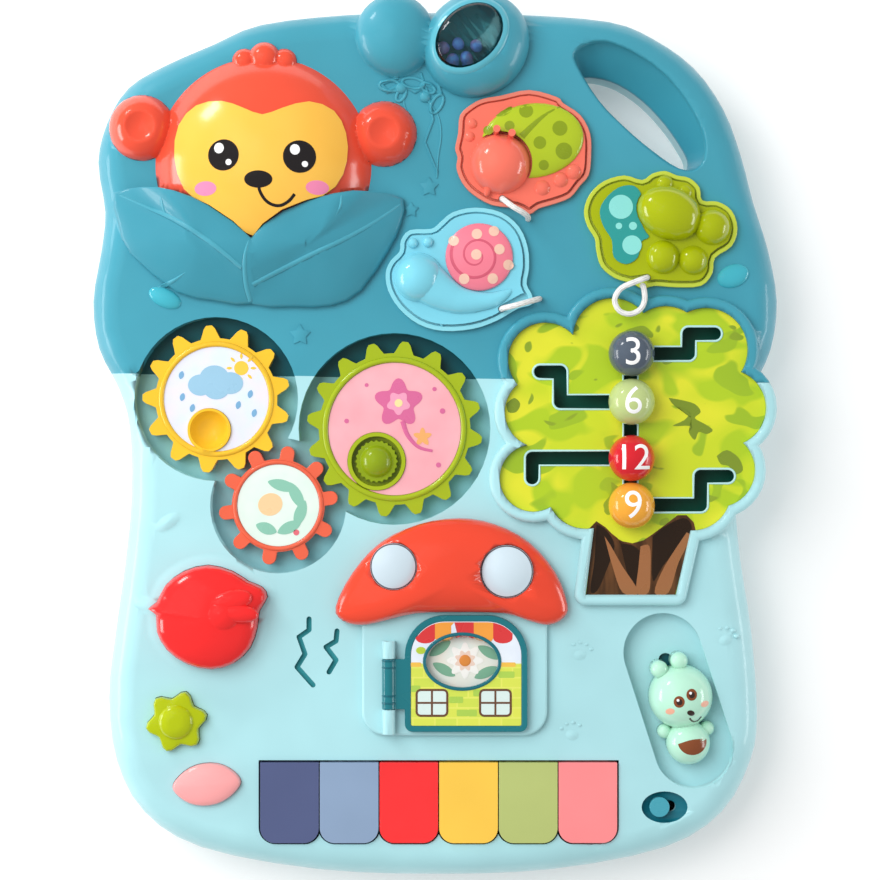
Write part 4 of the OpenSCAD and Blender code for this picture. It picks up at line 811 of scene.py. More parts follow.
def print_rain_disc():
    """The yellow gear's disc: a cloud, the sun and drops on a pale ground."""
    node = "yellow_gear_label"
    dress(node, print_coated("print_rain", soft_wash("#DDEBF5", "#EDE6F6", 14)), 0.15)
    top = surface_of(node)
    cloud = plain("ink_cloud", "#9CC9E3")
    drops = plain("ink_drops", "#7DB1D8")
    sun = plain("ink_sun", "#FBD04A")
    for k, (x, y, r) in enumerate(((-8, 7, 6.2), (-1, 10.5, 7.4), (7, 8, 6.4), (0, 5.5, 6.6))):
        patch(f"cloud_{k}", oval(on_gear("yellow", x, y), r * MM, r * 0.86 * MM), top, cloud, node,
              lift=0.1 + 0.02 * k)
    sun_x, sun_y = 12.5, 15.5
    patch("sun_disc", oval(on_gear("yellow", sun_x, sun_y), 3.6 * MM, 3.6 * MM), top, sun, node, lift=0.08)
    for k in range(8):
        ray = math.radians(45 * k)
        place = on_gear("yellow", sun_x + 6 * math.cos(ray), sun_y + 6 * math.sin(ray))
        patch(f"sun_ray_{k}", leaf_outline(place, 1.5 * MM, 0.7 * MM, 45 * k, 12), top, sun, node, rings=1)
    for k, (x, y) in enumerate(((-17, 1), (-12, -4.5), (11, -3), (17, 2.5), (-17.5, 12), (19, -7))):
        patch(f"drop_{k}", leaf_outline(on_gear("yellow", x, y), 2.1 * MM, 1.3 * MM, 75, 18), top, drops,
              node, rings=2)


def print_leaves_disc():
    """The orange gear's disc: leaves round an apricot on a mint ground."""
    node = "orange_gear_label"
    dress(node, print_coated("print_leaves", soft_wash("#DDF1E6", "#E9F4EC", 12)), 0.15)
    top = surface_of(node)
    patch("apricot", oval(on_gear("orange", -4, 0.5), 6.2 * MM, 5.6 * MM, 20), top,
          plain("ink_apricot", "#FBD3A0"), node, lift=0.08)
    leaf = plain("ink_leaf", "#8FCBB4")
    for k, (x, y, long, lean) in enumerate(((2, 10, 7.5, 165), (9, 5, 7.5, 118), (11, -4, 7, 70),
                                            (5.5, -11, 6.5, 25), (-6, -11.5, 5.5, -20))):
        patch(f"leaf_print_{k}", leaf_outline(on_gear("orange", x, y), long * MM, 2.9 * MM, lean), top, leaf,
              node, lift=0.06 + 0.02 * k)
    patch("berry", oval(on_gear("orange", 9, -13.5), 1.5 * MM, 1.5 * MM), top, plain("ink_berry", "#E9727F"),
          node)


def print_petals_disc():
    """The green gear's disc: a flower on its stem, a star and dots on a pink ground."""
    node = "green_gear_label"
    dress(node, print_coated("print_petals", soft_wash("#F4A9B2", "#F7B6BE", 16)), 0.15)
    top = surface_of(node)
    rose = plain("ink_rose", "#DD6C9C")
    blush = plain("ink_blush", "#F3A3C0")
    flower = on_gear("green", 2, 13)
    patch("flower", lobed(flower, 10.2 * MM, 5, 0.22, 90), top, rose, node)
    patch("flower_heart", lobed(flower, 5.2 * MM, 5, 0.16, 126), top, blush, node, lift=0.2)
    patch("flower_eye", oval(flower, 2 * MM, 2 * MM), top, plain("ink_pollen", "#FBE3A2"), node, lift=0.28)
    stem = [flower + Vector(p) * MM for p in ((2, -9), (4.5, -16), (10, -22), (17, -24))]
    stroke("flower_stem", stem, 2.6, top, rose, node, taper=lambda t: 1 - 0.5 * t)
    patch("star_print", lobed(on_gear("green", 14, -4), 3.6 * MM, 5, 0.32, 90, sharp=0.7), top,
          plain("ink_star", "#F6B26B"), node)
    for k, (x, y, r) in enumerate(((-24, 4, 1.2), (24, 9, 1.4), (-14, 22, 1.0), (20, 20, 1.1),
                                   (22, -18, 1.3))):
        patch(f"petal_dot_{k}", oval(on_gear("green", x, y), r * MM, r * MM, 0, 16), top, rose, node, rings=2)


# ---- Tree maze ----
# The upright track's place, the balls' rows on it and the width of the tracks, in millimetres
TRACK_X = 97.5
BALL_ROWS = {"3": 41, "6": 17, "12": -11, "9": -34.5}
TRACK_WIDTH = 7.3
MIDDLE_TRACK = ((TRACK_X, 45), (TRACK_X, -40))
# Each ball's side track: where it leaves the ball's row, and its further corners, in millimetres
SIDE_TRACKS = {
    "3": (126.5, (126.5, 51), (139.5, 51)),
    "6": (62.5, (62.5, 32), (52.5, 32)),
    "12": (48.5, (48.5, -21)),
    "9": (132.5, (132.5, -20), (146, -20))}


def number_balls():
    """White printed numbers on the four balls."""
    white = moulded_abs("pad_ink_numbers", "#FFFFFF", rough=0.2, grit=0.02)
    for number, row in BALL_ROWS.items():
        ball = "ball_" + number
        lettered("number_" + number, number, Vector((TRACK_X, row)) * MM, 19.5 if len(number) == 1 else 18,
                 surface_of(ball), white, ball, bold=0.0)


def blotches(tree, where, size, start, spread=0.02, shift=0.0):
    """How much of a hard-edged patchwork covers a spot: size in millimetres, from noise level start."""
    flat = add_node(tree, "Mapping", {"Vector": where, "Scale": (1.0, 1.4, 0.0), "Location": (shift, 0, 0)})
    cloud = add_node(tree, "TexNoise", {"Vector": flat.outputs[0], "Scale": 1 / (size * MM), "Detail": 1.0,
                                        "Distortion": 0.5})
    return add_node(tree, "MapRange", {"Value": cloud.outputs["Fac"], "From Min": start,
                                       "From Max": start + spread}).outputs[0]


def foliage_tone(tree, where):
    """Painted leaves: yellow-green masses with greener and darker daubs."""
    light = tinted(tree, blotches(tree, where, 46, 0.4, 0.2), linear("#E4E430"), linear("#CBDB26"))
    green = tinted(tree, blotches(tree, where, 30, 0.53, 0.05, 0.3), light, linear("#B3D022"))
    deep = tinted(tree, blotches(tree, where, 24, 0.6, 0.02, 0.7), green, linear("#A0C026"))
    return tinted(tree, blotches(tree, where, 17, 0.675, 0.015, 1.3), deep, linear("#8FA82A"))


def bark_tone(tree, where):
    """Painted bark: dark brown with paler streaks up the trunk."""
    flat = add_node(tree, "Mapping", {"Vector": where, "Scale": (1.0, 0.18, 0.0)}).outputs[0]
    streaks = add_node(tree, "TexNoise", {"Vector": flat, "Scale": 1 / (5 * MM), "Detail": 3.0})
    spread = add_node(tree, "MapRange", {"Value": streaks.outputs["Fac"], "From Min": 0.4, "From Max": 0.65})
    return tinted(tree, spread.outputs[0], linear("#4A2D14"), linear("#6E4522"))


def track_stretches():
    """The straight stretches of all the tracks, each as its two ends."""
    ends = [MIDDLE_TRACK]
    for number, (leave, *corners) in SIDE_TRACKS.items():
        row = BALL_ROWS[number]
        line = [(TRACK_X, row), (leave, row), *corners]
        ends += zip(line, line[1:])
    return [(Vector(a) * MM, Vector(b) * MM) for a, b in ends]


def beside(place, stretches):
    """Whether a place lies on the edge of one of the stretches of track."""
    for a, b in stretches:
        along = (b - a).length_squared
        t = max(0.0, min(1.0, (place.xy - a).dot(b - a) / along))
        if (a + (b - a) * t - place.xy).length < (TRACK_WIDTH / 2 + 0.6) * MM:
            return True
    return False


def keep_slot_edges(plate):
    """Leaves of a tree plate only the upper edges of its slots, as loose edges."""
    mesh = bmesh.new()
    mesh.from_mesh(plate.data)
    top = max(vertex.co.z for vertex in mesh.verts)
    stretches = track_stretches()
    keep = set()
    for edge in mesh.edges:
        flat = [abs(face.normal.z) > 0.9 for face in edge.link_faces]
        high = all(vertex.co.z > top - 0.05 * MM for vertex in edge.verts)
        if high and any(flat) and not all(flat) and all(beside(v.co, stretches) for v in edge.verts):
            keep.add(edge)
    bmesh.ops.delete(mesh, geom=list(mesh.faces), context="FACES_ONLY")
    bmesh.ops.delete(mesh, geom=[e for e in mesh.edges if e not in keep], context="EDGES")
    bmesh.ops.delete(mesh, geom=[v for v in mesh.verts if not v.link_edges], context="VERTS")
    mesh.to_mesh(plate.data)
    mesh.free()


def slot_lips(plate):
    """Pale moulded lip round the slots of the tree plate."""
    lip = twin(plate)
    keep_slot_edges(lip)
    activate(lip)
    bpy.ops.object.convert(target="CURVE")
    lip = bpy.context.object
    lip.data.bevel_depth = 0.6 * MM
    lip.data.bevel_resolution = 2
    bpy.ops.object.convert(target="MESH")
    lip = bpy.context.object
    finish_piece(lip, "slot_lips", moulded_abs("abs_slot_lips", "#BFEBEA", rough=0.3), "tree_plate", 60)


# Outlines of the trunk, of the daubs on its bark and of the dark leaves, in pixels of the view
TRUNK = (
    (585.5, 594.5), (674.5, 594.5), (688, 540), (695, 530), (693, 522), (686, 515), (677, 515), (668, 522),
    (660, 528), (652, 534), (643, 540), (632, 543), (622, 541), (612, 536), (605, 527), (596, 521),
    (589, 528), (592, 538))
DARK_BARK = (
    ((596, 524), (606, 530), (614, 546), (606, 570), (597, 590), (590, 590), (594, 560)),
    ((620, 543), (634, 546), (643, 560), (640, 590), (634, 590), (626, 570)),
    ((652, 536), (668, 524), (684, 518), (691, 528), (680, 544), (662, 566), (652, 580)))
PALE_BARK = (
    ((604, 536), (610, 545), (622, 566), (638, 592), (622, 592), (612, 566)),
    ((640, 546), (649, 546), (650, 570), (648, 592), (636, 592), (638, 566)),
    ((686, 532), (690, 538), (678, 562), (668, 592), (654, 592), (664, 566)))
DARK_LEAVES = (
    ((668, 398), (680, 400), (694, 404), (700, 412), (694, 418), (704, 424), (712, 430), (706, 434),
     (698, 432), (694, 440), (688, 432), (690, 426), (672, 426), (684, 420), (688, 412), (674, 406)),
    ((506, 404), (514, 398), (520, 404), (516, 412), (508, 412)),
    ((716, 456), (726, 450), (738, 458), (742, 470), (734, 474), (728, 466), (720, 464)))


def daub(pixels, steps):
    """Smooth closed outline through pixels of the view."""
    return smooth_line([deck_point(u, v) for u, v in pixels + pixels[:1]], steps)[:-1]


def paint_tree():
    """Printed foliage and trunk of the maze plate."""
    node = "tree_plate"
    plate = dress(node, print_coated("print_foliage", foliage_tone, rough=0.34), 0.0)
    top = surface_of(node)
    bark = print_coated("print_bark", bark_tone, rough=0.4)
    patch("trunk_print", [deck_point(u, v) for u, v in TRUNK], top, bark, node, lift=0.08, rings=2)
    pale = plain("ink_root", "#A56C42")
    dark = plain("ink_bark_dark", "#2B1A0B")
    for k, pixels in enumerate(DARK_BARK + PALE_BARK):
        ink = dark if pixels in DARK_BARK else pale
        patch(f"bark_print_{k}", daub(pixels, 4), top, ink, node, lift=0.12 + 0.01 * k, rings=1)
    shade = plain("ink_leaf_shade", "#82982B")
    for k, pixels in enumerate(DARK_LEAVES):
        patch(f"leaf_daub_{k}", daub(pixels, 3), top, shade, node, lift=0.08, rings=1)
    slot_lips(plate)


# ---- Mushroom house door ----
def box_outline(x0, y0, x1, y1, round_by, steps=4):
    """Outline of a rectangle with rounded corners, in millimetres."""
    points = []
    for cx, cy, start in ((x1, y1, 0), (x0, y1, 90), (x0, y0, 180), (x1, y0, 270)):
        inward = Vector((math.copysign(round_by, (x0 + x1) / 2 - cx),
                         math.copysign(round_by, (y0 + y1) / 2 - cy)))
        middle = Vector((cx, cy)) + inward
        for k in range(steps + 1):
            angle = math.radians(start + 90 * k / steps)
            points.append((middle + round_by * Vector((math.cos(angle), math.sin(angle)))) * MM)
    return points


def wall_tone(tree, where):
    """Printed house front: pale sky over a lime brick wall."""
    split = add_node(tree, "SeparateXYZ", {"Vector": where})
    sky = add_node(tree, "MapRange", {"Value": split.outputs["Y"], "From Min": -113.4 * MM,
                                      "From Max": -112.6 * MM}).outputs[0]
    flat = add_node(tree, "Mapping", {"Vector": where, "Scale": (1.0, 1.0, 0.0)}).outputs[0]
    bricks = add_node(tree, "TexBrick", {
        "Vector": flat, "Color1": linear("#DCE356"), "Color2": linear("#CCDD52"), "Mortar": linear("#E3E766"),
        "Scale": 1.0, "Mortar Size": 0.4 * MM, "Brick Width": 11 * MM, "Row Height": 5 * MM}).outputs["Color"]
    cloud = tinted(tree, varied(tree, where, 9, 0, 1), linear("#DCE6F3"), linear("#E9F1F8"))
    return tinted(tree, sky, bricks, cloud)


# Round head of the printed label: the x of its two corners, their y and their radius, in millimetres
LABEL_CORNERS = (5.0, 26.0, -109.0)
LABEL_RADIUS = 16.8
# The awning's left end, the width of a strip and the y of its scalloped hem, in millimetres
AWNING = (-9.6, 9.62, -100.4)
# The windows' middles and half sizes, in millimetres
PANES = (("left", -1.5, -132.5), ("right", 30.0, -132.5))
PANE_HALF = (7.6, 6.4)


def label_top(x):
    """Height of the label's arched top edge at x, in millimetres."""
    left, right, middle = LABEL_CORNERS
    aside = max(left - x, x - right, 0.0)
    return middle + math.sqrt(max(0.0, LABEL_RADIUS ** 2 - aside ** 2))


def print_awning(top):
    """Striped awning with a scalloped hem, under the label's arched top."""
    inks = plain("ink_awning_red", "#DD3A3C"), plain("ink_awning_orange", "#F6A33F")
    first, width, hem = AWNING
    for k in range(5):
        left, right = first + width * k, first + width * (k + 1)
        points = []
        for step in range(9):
            angle = math.pi * (1 + step / 8)
            points.append(millimetres((left + right) / 2 + width / 2 * math.cos(angle),
                                      hem + 2.6 * math.sin(angle)))
        for step in range(7):
            x = right - width * step / 6
            points.append(millimetres(x, max(label_top(x) - 0.3, hem + 0.2)))
        patch(f"awning_{k}", points, top, inks[k % 2], "door_label", lift=0.1, rings=2)


def print_windows(top):
    """The printed house's two windows, each with a frame, a bar and a rail."""
    ink, glass = plain("ink_window_frame", "#6E4A34"), plain("ink_window_glass", "#DCEFEA")
    half_x, half_y = PANE_HALF
    for side, x, y in PANES:
        outline = box_outline(x - half_x, y - half_y, x + half_x, y + half_y, 2.0)
        patch(f"pane_{side}", outline, top, glass, "door_label", lift=0.08, rings=1)
        stroke(f"pane_frame_{side}", outline, 1.1, top, ink, "door_label", lift=0.12, closed=True)
        for name, across, up in (("bar", 0, half_y), ("rail", half_x, 0)):
            ends = [millimetres(x - across, y - up), millimetres(x + across, y + up)]
            stroke(f"pane_{name}_{side}", ends, 1.0, top, ink, "door_label", lift=0.12)


def print_house_front(top):
    """Loose bricks, hills and a bush printed on the label."""
    brick = plain("ink_brick", "#AFD354")
    for k, (x, y, w) in enumerate(((35.5, -118.5, 8), (10.5, -131, 7), (15.8, -137.5, 10),
                                   (-9.5, -125.5, 4.5), (22, -127.6, 6))):
        patch(f"brick_{k}", box_outline(x - w / 2, y - 1.6, x + w / 2, y + 1.6, 0.5, 2), top, brick,
              "door_label", lift=0.05, rings=1)
    hill = plain("ink_hill", "#F4C250")
    for k, (x, w) in enumerate(((-9.4, 5.2), (36.3, 7.5))):
        patch(f"hill_{k}", box_outline(x - w / 2, -114.6, x + w / 2, -112.4, 0.6, 2), top, hill, "door_label",
              lift=0.05, rings=1)
    patch("bush", oval(millimetres(-7, -106.5), 2.4 * MM, 1.8 * MM), top, plain("ink_bush", "#B9CF3E"),
          "door_label", rings=1)


def paint_door():
    """The door's printed label with its house, and the moulded ring of its window."""
    dress("door_label", print_coated("print_house", wall_tone), 0.0)
    top = surface_of("door_label")
    print_awning(top)
    print_windows(top)
    print_house_front(top)
    ring = moulded_abs("abs_window_ring", "#1E6F7C", rough=0.22)
    stroke("window_ring", oval(millimetres(13.5, -112), 18.7 * MM, 13.7 * MM, 0, 56), 1.7, top, ring,
           "house_door", lift=0.15, flat=0.6, closed=True)


def paint_peek_picture():
    """Picture behind the door's window: one daisy with four leaves on a pale ground."""
    ground = print_coated("print_garden", soft_wash("#F7EBDD", "#E2F0EA", 16))
    node = "peek_picture"
    dress(node, ground, 0.0)
    top = surface_of(node)
    daisy = millimetres(15, -112)
    leaf = plain("ink_garden_leaf", "#83B89A")
    for k, (x, y, lean) in enumerate(((2.5, -106, 35), (4.5, -116.5, -30), (27, -108, 150),
                                      (25.5, -118, 205))):
        patch(f"garden_leaf_{k}", leaf_outline(millimetres(x, y), 6.4 * MM, 2.5 * MM, lean), top, leaf, node)
    patch("daisy", lobed(daisy, 7.6 * MM, 8, 0.2, 0, 72), top, plain("ink_daisy", "#FFFDF8"), node, lift=0.2)
    patch("daisy_shade", lobed(daisy, 4.6 * MM, 8, 0.16, 22, 72), top, plain("ink_daisy_shade", "#F6D9C8"),
          node, lift=0.28)
    patch("daisy_heart", oval(daisy, 2.9 * MM, 2.9 * MM), top, plain("ink_daisy_heart", "#E8903F"), node,
          lift=0.36, crown=0.4)


# ---- Lift-off animals ----
def dome(name, centre, half_long, half_wide, rise, base, finish, node, turn=0.0):
    """A smooth rounded bump: half of it stands above height base; sizes in millimetres, centre in metres."""
    bpy.ops.mesh.primitive_uv_sphere_add(segments=32, ring_count=16, radius=1, location=(0, 0, 0))
    piece = bpy.context.object
    piece.scale = (half_long * MM, half_wide * MM, rise * MM)
    piece.rotation_euler = (0, 0, math.radians(turn))
    piece.location = (centre.x, centre.y, base)
    return finish_piece(piece, name, finish, node, smooth=60)


# Spots of the ladybug's shell as (place, length, width, turn), its wing seam and its foot: pixels of the view
LADYBUG_SPOTS = (
    ((525.5, 113), 7, 7, 0), ((509, 128), 5, 5, 0), ((488, 132), 5, 4.6, 0), ((503, 112), 9, 5.6, 25),
    ((559, 130.5), 7.5, 7.5, 0), ((563, 153), 8.3, 8.3, 0), ((539, 145), 6.3, 6.3, 0), ((543, 167), 5, 5, 0))
WING_SEAM = ((521, 139), (534, 126), (546, 116), (560, 108))
LADYBUG_FOOT = (487, 191)


def paint_ladybug():
    """Spots and wing seam of the ladybug's printed shell, and its hind foot."""
    top = surface_of("ladybug_shell")
    olive = plain("ink_olive", "#8CA11A", rough=0.25)
    for k, (place, long, wide, lean) in enumerate(LADYBUG_SPOTS):
        patch(f"shell_spot_{k}", oval(deck_point(*place), long / 2 * MM, wide / 2 * MM, lean, 24), top, olive,
              "ladybug_shell", lift=0.06, rings=2)
    seam = [deck_point(u, v) for u, v in WING_SEAM]
    stroke("wing_seam", seam, 3.2, top, olive, "ladybug_shell", lift=0.0, flat=0.1, taper=lambda t: 1.1 - t)
    coral = moulded_abs("abs_ladybug_feet", "#F4705C", rough=0.15)
    foot = deck_point(*LADYBUG_FOOT)
    dome("ladybug_foot_0", foot, 3.6, 1.8, 1.6, surface_of("ladybug_body")(foot.x, foot.y), coral,
         "ladybug_body", 80)


# The snail's body from its head to its tail: place and half width in pixels of the view
SNAIL_SWEEP = ((413, 275, 22.5), (427, 283, 21.5), (440, 292, 18.5), (455, 299.5, 14.5), (468, 302, 12),
               (480, 302, 9.8), (492, 300.5, 8), (503, 296, 5.5), (511, 290.5, 1.5))
# Middle of the shell and of the head's round with its radius, and the ring round the shell that holds the
# CAD's plain bent rib up to a row of the deck, in millimetres
SNAIL_SHELL = (22, 89)
SNAIL_HEAD, HEAD_RADIUS = (-8.25, 79), 12.4
RIB_RING, RIB_END = (18.5, 30.5), 86


def sink_rib(snail, base):
    """Lowers the CAD's plain bent rib round the shell to the snail's base."""
    shell = millimetres(*SNAIL_SHELL)
    head = millimetres(*SNAIL_HEAD)
    inner, outer = RIB_RING
    for vertex in snail.data.vertices:
        place = vertex.co.xy
        on_rib = inner * MM < (place - shell).length < outer * MM and place.y < RIB_END * MM
        if on_rib and vertex.co.z > base and (place - head).length > HEAD_RADIUS * MM:
            vertex.co.z = base
    even_normals(snail)


def shape_snail_body():
    """The snail's body: sweeps round the shell from its head to a pointed tail, in place of the CAD's rib."""
    snail = bpy.data.objects["snail_body_part"]
    shell = millimetres(*SNAIL_SHELL)
    base = surface_of("snail_body")(shell.x, shell.y)
    sink_rib(snail, base)
    spine = smooth_line([deck_point(u, v) for u, v, half in SNAIL_SWEEP], 6)
    halves = [half for u, v, half in SNAIL_SWEEP]

    def share(t):
        """Half width at t along the spine, as a share of the head's."""
        at = min(t * (len(halves) - 1), len(halves) - 1.001)
        low = int(at)
        return (halves[low] + (at - low) * (halves[low + 1] - halves[low])) / halves[0]

    sweep = rod([(p.x, p.y, 0) for p in spine], halves[0] / 2 * MM, sides=7, taper=share)
    for vertex in sweep.data.vertices:
        vertex.co.z = base + max(vertex.co.z * 0.72, -0.3 * MM)
    finish_piece(sweep, "snail_sweep", snail.data.materials[0], "snail_body", smooth=60)


# Spots of the snail's shell and the heart of its spiral, in pixels of the view
SNAIL_SPOTS = ((476.6, 235.4), (453.6, 242), (493.6, 232.4), (499, 250.6), (476, 256), (508, 266), (464, 280),
               (492.4, 279.7))
SPIRAL_HEART = (476, 257)


def paint_snail():
    """Pale spots and the spiral groove of the snail's shell."""
    top = surface_of("snail_shell")
    pale = plain("ink_snail_spots", "#F7C9B4", rough=0.25)
    deep = plain("ink_snail_spiral", "#D85E76", rough=0.25)
    for k, (u, v) in enumerate(SNAIL_SPOTS):
        patch(f"snail_spot_{k}", oval(deck_point(u, v), 2.6 * MM, 2.6 * MM, 0, 24), top, pale, "snail_shell",
              lift=0.16, rings=2)
    heart = deck_point(*SPIRAL_HEART)
    spiral = []
    for k in range(26):
        angle = math.radians(20 - 24 * k)
        reach = (2.6 + 0.42 * k) * MM
        spiral.append(heart + reach * Vector((math.cos(angle), math.sin(angle))))
    stroke("shell_spiral", spiral, 1.6, top, deep, "snail_shell", lift=-0.02, flat=0.15,
           taper=lambda t: 0.5 + 0.6 * t)


# Rounds on the butterfly's wing: place in pixels of the view and radius in millimetres
WING_ROUNDS = (((620, 208), 6), ((618, 227), 1.6), ((632, 227), 2), ((631, 246), 4.8))


def paint_butterfly():
    """Mint rounds on the butterfly's wing."""
    top = surface_of("butterfly_wing")
    mint = plain("ink_wing_rounds", "#8FE3DC", rough=0.25)
    for k, (place, radius) in enumerate(WING_ROUNDS):
        patch(f"wing_round_{k}", oval(deck_point(*place), radius * MM, radius * MM, 0, 32), top, mint,
              "butterfly_wing", lift=0.08, rings=2)


# The rib in each animal's tray: place in pixels of the view, turn in degrees and colour
TRAY_RIBS = (("ladybug", (486.5, 190), 80, "#F4705C"), ("snail", (442, 322), 85, "#7FD3E6"),
             ("butterfly", (669, 277), 90, "#B4C30A"))


def bridge_tray_gaps():
    """Small moulded ribs that hold each animal off the wall of its tray."""
    for animal, place, lean, colour in TRAY_RIBS:
        dome(animal + "_rib", deck_point(*place), 2.6, 1.2, 2.4, DECK_Z + 2 * MM,
             moulded_abs("abs_rib_" + animal, colour), animal + "_tray", lean)


# Glossy pebbles moulded on the deck: middle, half sizes and turn, in millimetres and degrees
PEBBLES = ((149, 80, 8.3, 5.8, 20), (-135, 69, 8.8, 4.8, -25))


def polish_pebbles():
    """Bright polished caps of the two pebbles on the upper deck."""
    for k, (x, y, long, wide, turn) in enumerate(PEBBLES):
        dome(f"pebble_cap_{k}", Vector((x, y)) * MM, long, wide, 3.0, DECK_Z - 0.3 * MM,
             moulded_abs("abs_pebble", "#46B4C6", rough=0.12), "upper_cover", turn)


# ---- Bear slider ----
# Printed features of the bear in pixels of the view
BEAR_EYES = (("left", (676.5, 699)), ("right", (689, 692)))
BEAR_CHEEKS = (("left", (668, 709)), ("right", (703, 702)))
BEAR_NOSE = (688.5, 710.5)
BEAR_SMILE = ((687.5, 716), (691, 719.5), (696, 719.5), (700, 715))
BEAR_BELLY = (691, 740)


def paint_bear():
    """Face and round belly patch of the bear on the slider."""
    node = "bear_slider"
    top = surface_of(node)
    brown = plain("ink_bear_brown", "#8A4B2A", rough=0.2)
    dark = plain("ink_bear_dark", "#3B2A25", rough=0.2)
    glint = plain("ink_bear_glint", "#FFFFFF", rough=0.2)
    blush = plain("ink_bear_blush", "#F7B79B", rough=0.3)
    for side, place in BEAR_EYES:
        eye = deck_point(*place)
        patch("bear_eye_" + side, oval(eye, 2.7 * MM, 2.9 * MM, 0, 28), top, brown, node, rings=2)
        patch("bear_pupil_" + side, oval(eye + Vector((0.1, -0.1)) * MM, 1.5 * MM, 1.6 * MM, 0, 20), top,
              dark, node, lift=0.17, rings=2)
        patch("bear_glint_" + side, oval(eye + Vector((-0.6, 0.8)) * MM, 0.7 * MM, 0.7 * MM, 0, 16), top,
              glint, node, lift=0.23, rings=1)
    patch("bear_nose", oval(deck_point(*BEAR_NOSE), 2 * MM, 1.4 * MM, -20, 24), top, dark, node, rings=2,
          crown=0.3)
    stroke("bear_smile", [deck_point(u, v) for u, v in BEAR_SMILE], 0.9, top, dark, node, lift=0.05)
    for side, place in BEAR_CHEEKS:
        patch("bear_cheek_" + side, oval(deck_point(*place), 2.2 * MM, 1.6 * MM, 10, 20), top, blush, node,
              rings=2, lift=0.06)
    patch("bear_belly", belly_outline(), top, brown, node, rings=3)


def belly_outline():
    """The bear's belly patch: an arc below and a gently raised edge above."""
    belly = []
    middle = deck_point(*BEAR_BELLY)
    for k in range(25):
        angle = math.radians(190 + 180 * k / 24)
        belly.append(middle + Vector((7.3 * math.cos(angle), 6.6 * math.sin(angle))) * MM)
    a, b = belly[-1], belly[0]
    for k in range(1, 8):
        t = k / 8
        belly.append(a + (b - a) * t + Vector((0, 1.2 * math.sin(math.pi * t))) * MM)
    return belly


# The shutter under the bear's pit, in millimetres: middles of its round ends, their radius, its face's height
SHUTTER_ENDS = ((129.4, -154.6), (115.4, -110.9))
SHUTTER_RADIUS = 6.2
SHUTTER_Z = 33.0


def hang_slider_shutter():
    """Dark slide under the bear's pit, which closes the slot round the bear's stem."""
    start, end = (Vector(middle) * MM for middle in SHUTTER_ENDS)
    along = (end - start).normalized()
    aside = Vector((-along.y, along.x))
    points = []
    for centre, turn in ((start, 180), (end, 0)):
        for k in range(13):
            angle = math.radians(turn - 90 + 15 * k)
            points.append(centre + SHUTTER_RADIUS * MM * (math.cos(angle) * along + math.sin(angle) * aside))
    patch("slider_shutter", points, lambda x, y: SHUTTER_Z * MM,
          moulded_abs("abs_shutter", "#15626E", rough=0.4), "bear_slider", lift=0.0, rings=1, thick=1.0)


# ---- Bird button ----
# Feathers of the bird's wing: place in pixels of the view, half sizes in millimetres and turn in degrees
FEATHERS = (("upper", (232, 600), 11.5, 5.8, 14), ("lower", (238, 611), 11.5, 5.0, -6))


def feather_bird():
    """Two rounded feathers of the bird's wing."""
    top = surface_of("bird_button")
    red = moulded_abs("abs_feathers", "#FA2D2D", rough=0.15)
    for name, pixel, long, wide, lean in FEATHERS:
        place = deck_point(*pixel)
        dome("feather_" + name, place, long, wide, 4.2, top(place.x, place.y) - 2.2 * MM, red, "bird_button",
             lean)


# ---- Balloons ----
# Loops of the bows as (place, length, width, lean), their knots with their radii in millimetres, and the
# strings: pixels of the view
BOW_LOOPS = (
    ((390, 86), 11, 5.5, 5), ((413, 83), 11, 5, 10), ((401, 95), 7, 4, -60), ((437, 104), 10, 5, -62),
    ((428, 88), 7.5, 4.5, 30))
BOW_KNOTS = (((401, 88), 3.0), ((425, 97), 2.9))
STRINGS = (((427, 100), (438, 116), (441, 135), (438, 158), (437, 178)), ((404, 91), (404, 104), (410, 118)))


def tie_balloons():
    """Moulded bows under the balloons and their strings down the deck."""
    finish = moulded_abs("abs_strings", "#4AA5B9", rough=0.4, coat=0.1)
    node = "upper_cover"
    deck = surface_of(node)
    for k, (place, long, wide, lean) in enumerate(BOW_LOOPS):
        loop = oval(deck_point(*place), long / 2 * MM, wide / 2 * MM, -lean, 28)
        stroke(f"bow_loop_{k}", loop, 1.7, deck, finish, node, lift=0.2, flat=0.9, closed=True)
    for k, (place, radius) in enumerate(BOW_KNOTS):
        knot = deck_point(*place)
        dome(f"bow_knot_{k}", knot, radius, radius, 2.4, deck(*knot), finish, node)
    for k, pixels in enumerate(STRINGS):
        stroke(f"string_{k}", [deck_point(u, v) for u, v in pixels], 1.0, deck, finish, node, lift=0.05,
               flat=0.9)


# Rim of the rattle's window: its middle and half sizes in millimetres, and its turn in degrees
RATTLE_RIM = ((17, 198), (19.9, 15.4), 42)


def glaze_rattle():
    """Dark clear dome over the loose beads of the rattle, and its bright rim."""
    dress("rattle_window", smoked_styrene("styrene_window", "#9AD2D4"), 0.0, smooth=60)
    middle, (half_long, half_wide), lean = RATTLE_RIM
    rim = oval(millimetres(*middle), half_long * MM, half_wide * MM, lean, 72)
    stroke("rattle_rim", rim, 3.4, surface_of("upper_cover"),
           moulded_abs("abs_rattle_rim", "#5DB4C6", rough=0.2), "upper_cover", lift=0, flat=0.42, closed=True)
    paint_node("rattle_beads", marbled_beads("abs_beads"))


def marbled_beads(name):
    """Glossy ABS beads, pink and violet from one to the next."""
    finish, tree, where = new_finish(name)
    hue = add_node(tree, "TexNoise", {"Vector": where, "Scale": 1 / (7 * MM)}).outputs["Fac"]
    spread = add_node(tree, "MapRange", {"Value": hue, "From Min": 0.45, "From Max": 0.55}).outputs[0]
    tone = tinted(tree, spread, linear("#F277B4"), linear("#A98BE0"))
    shade = add_node(tree, "BsdfPrincipled", {"Base Color": tone, "Roughness": 0.15, "Coat Weight": 0.4})
    return close_finish(finish, tree, shade)


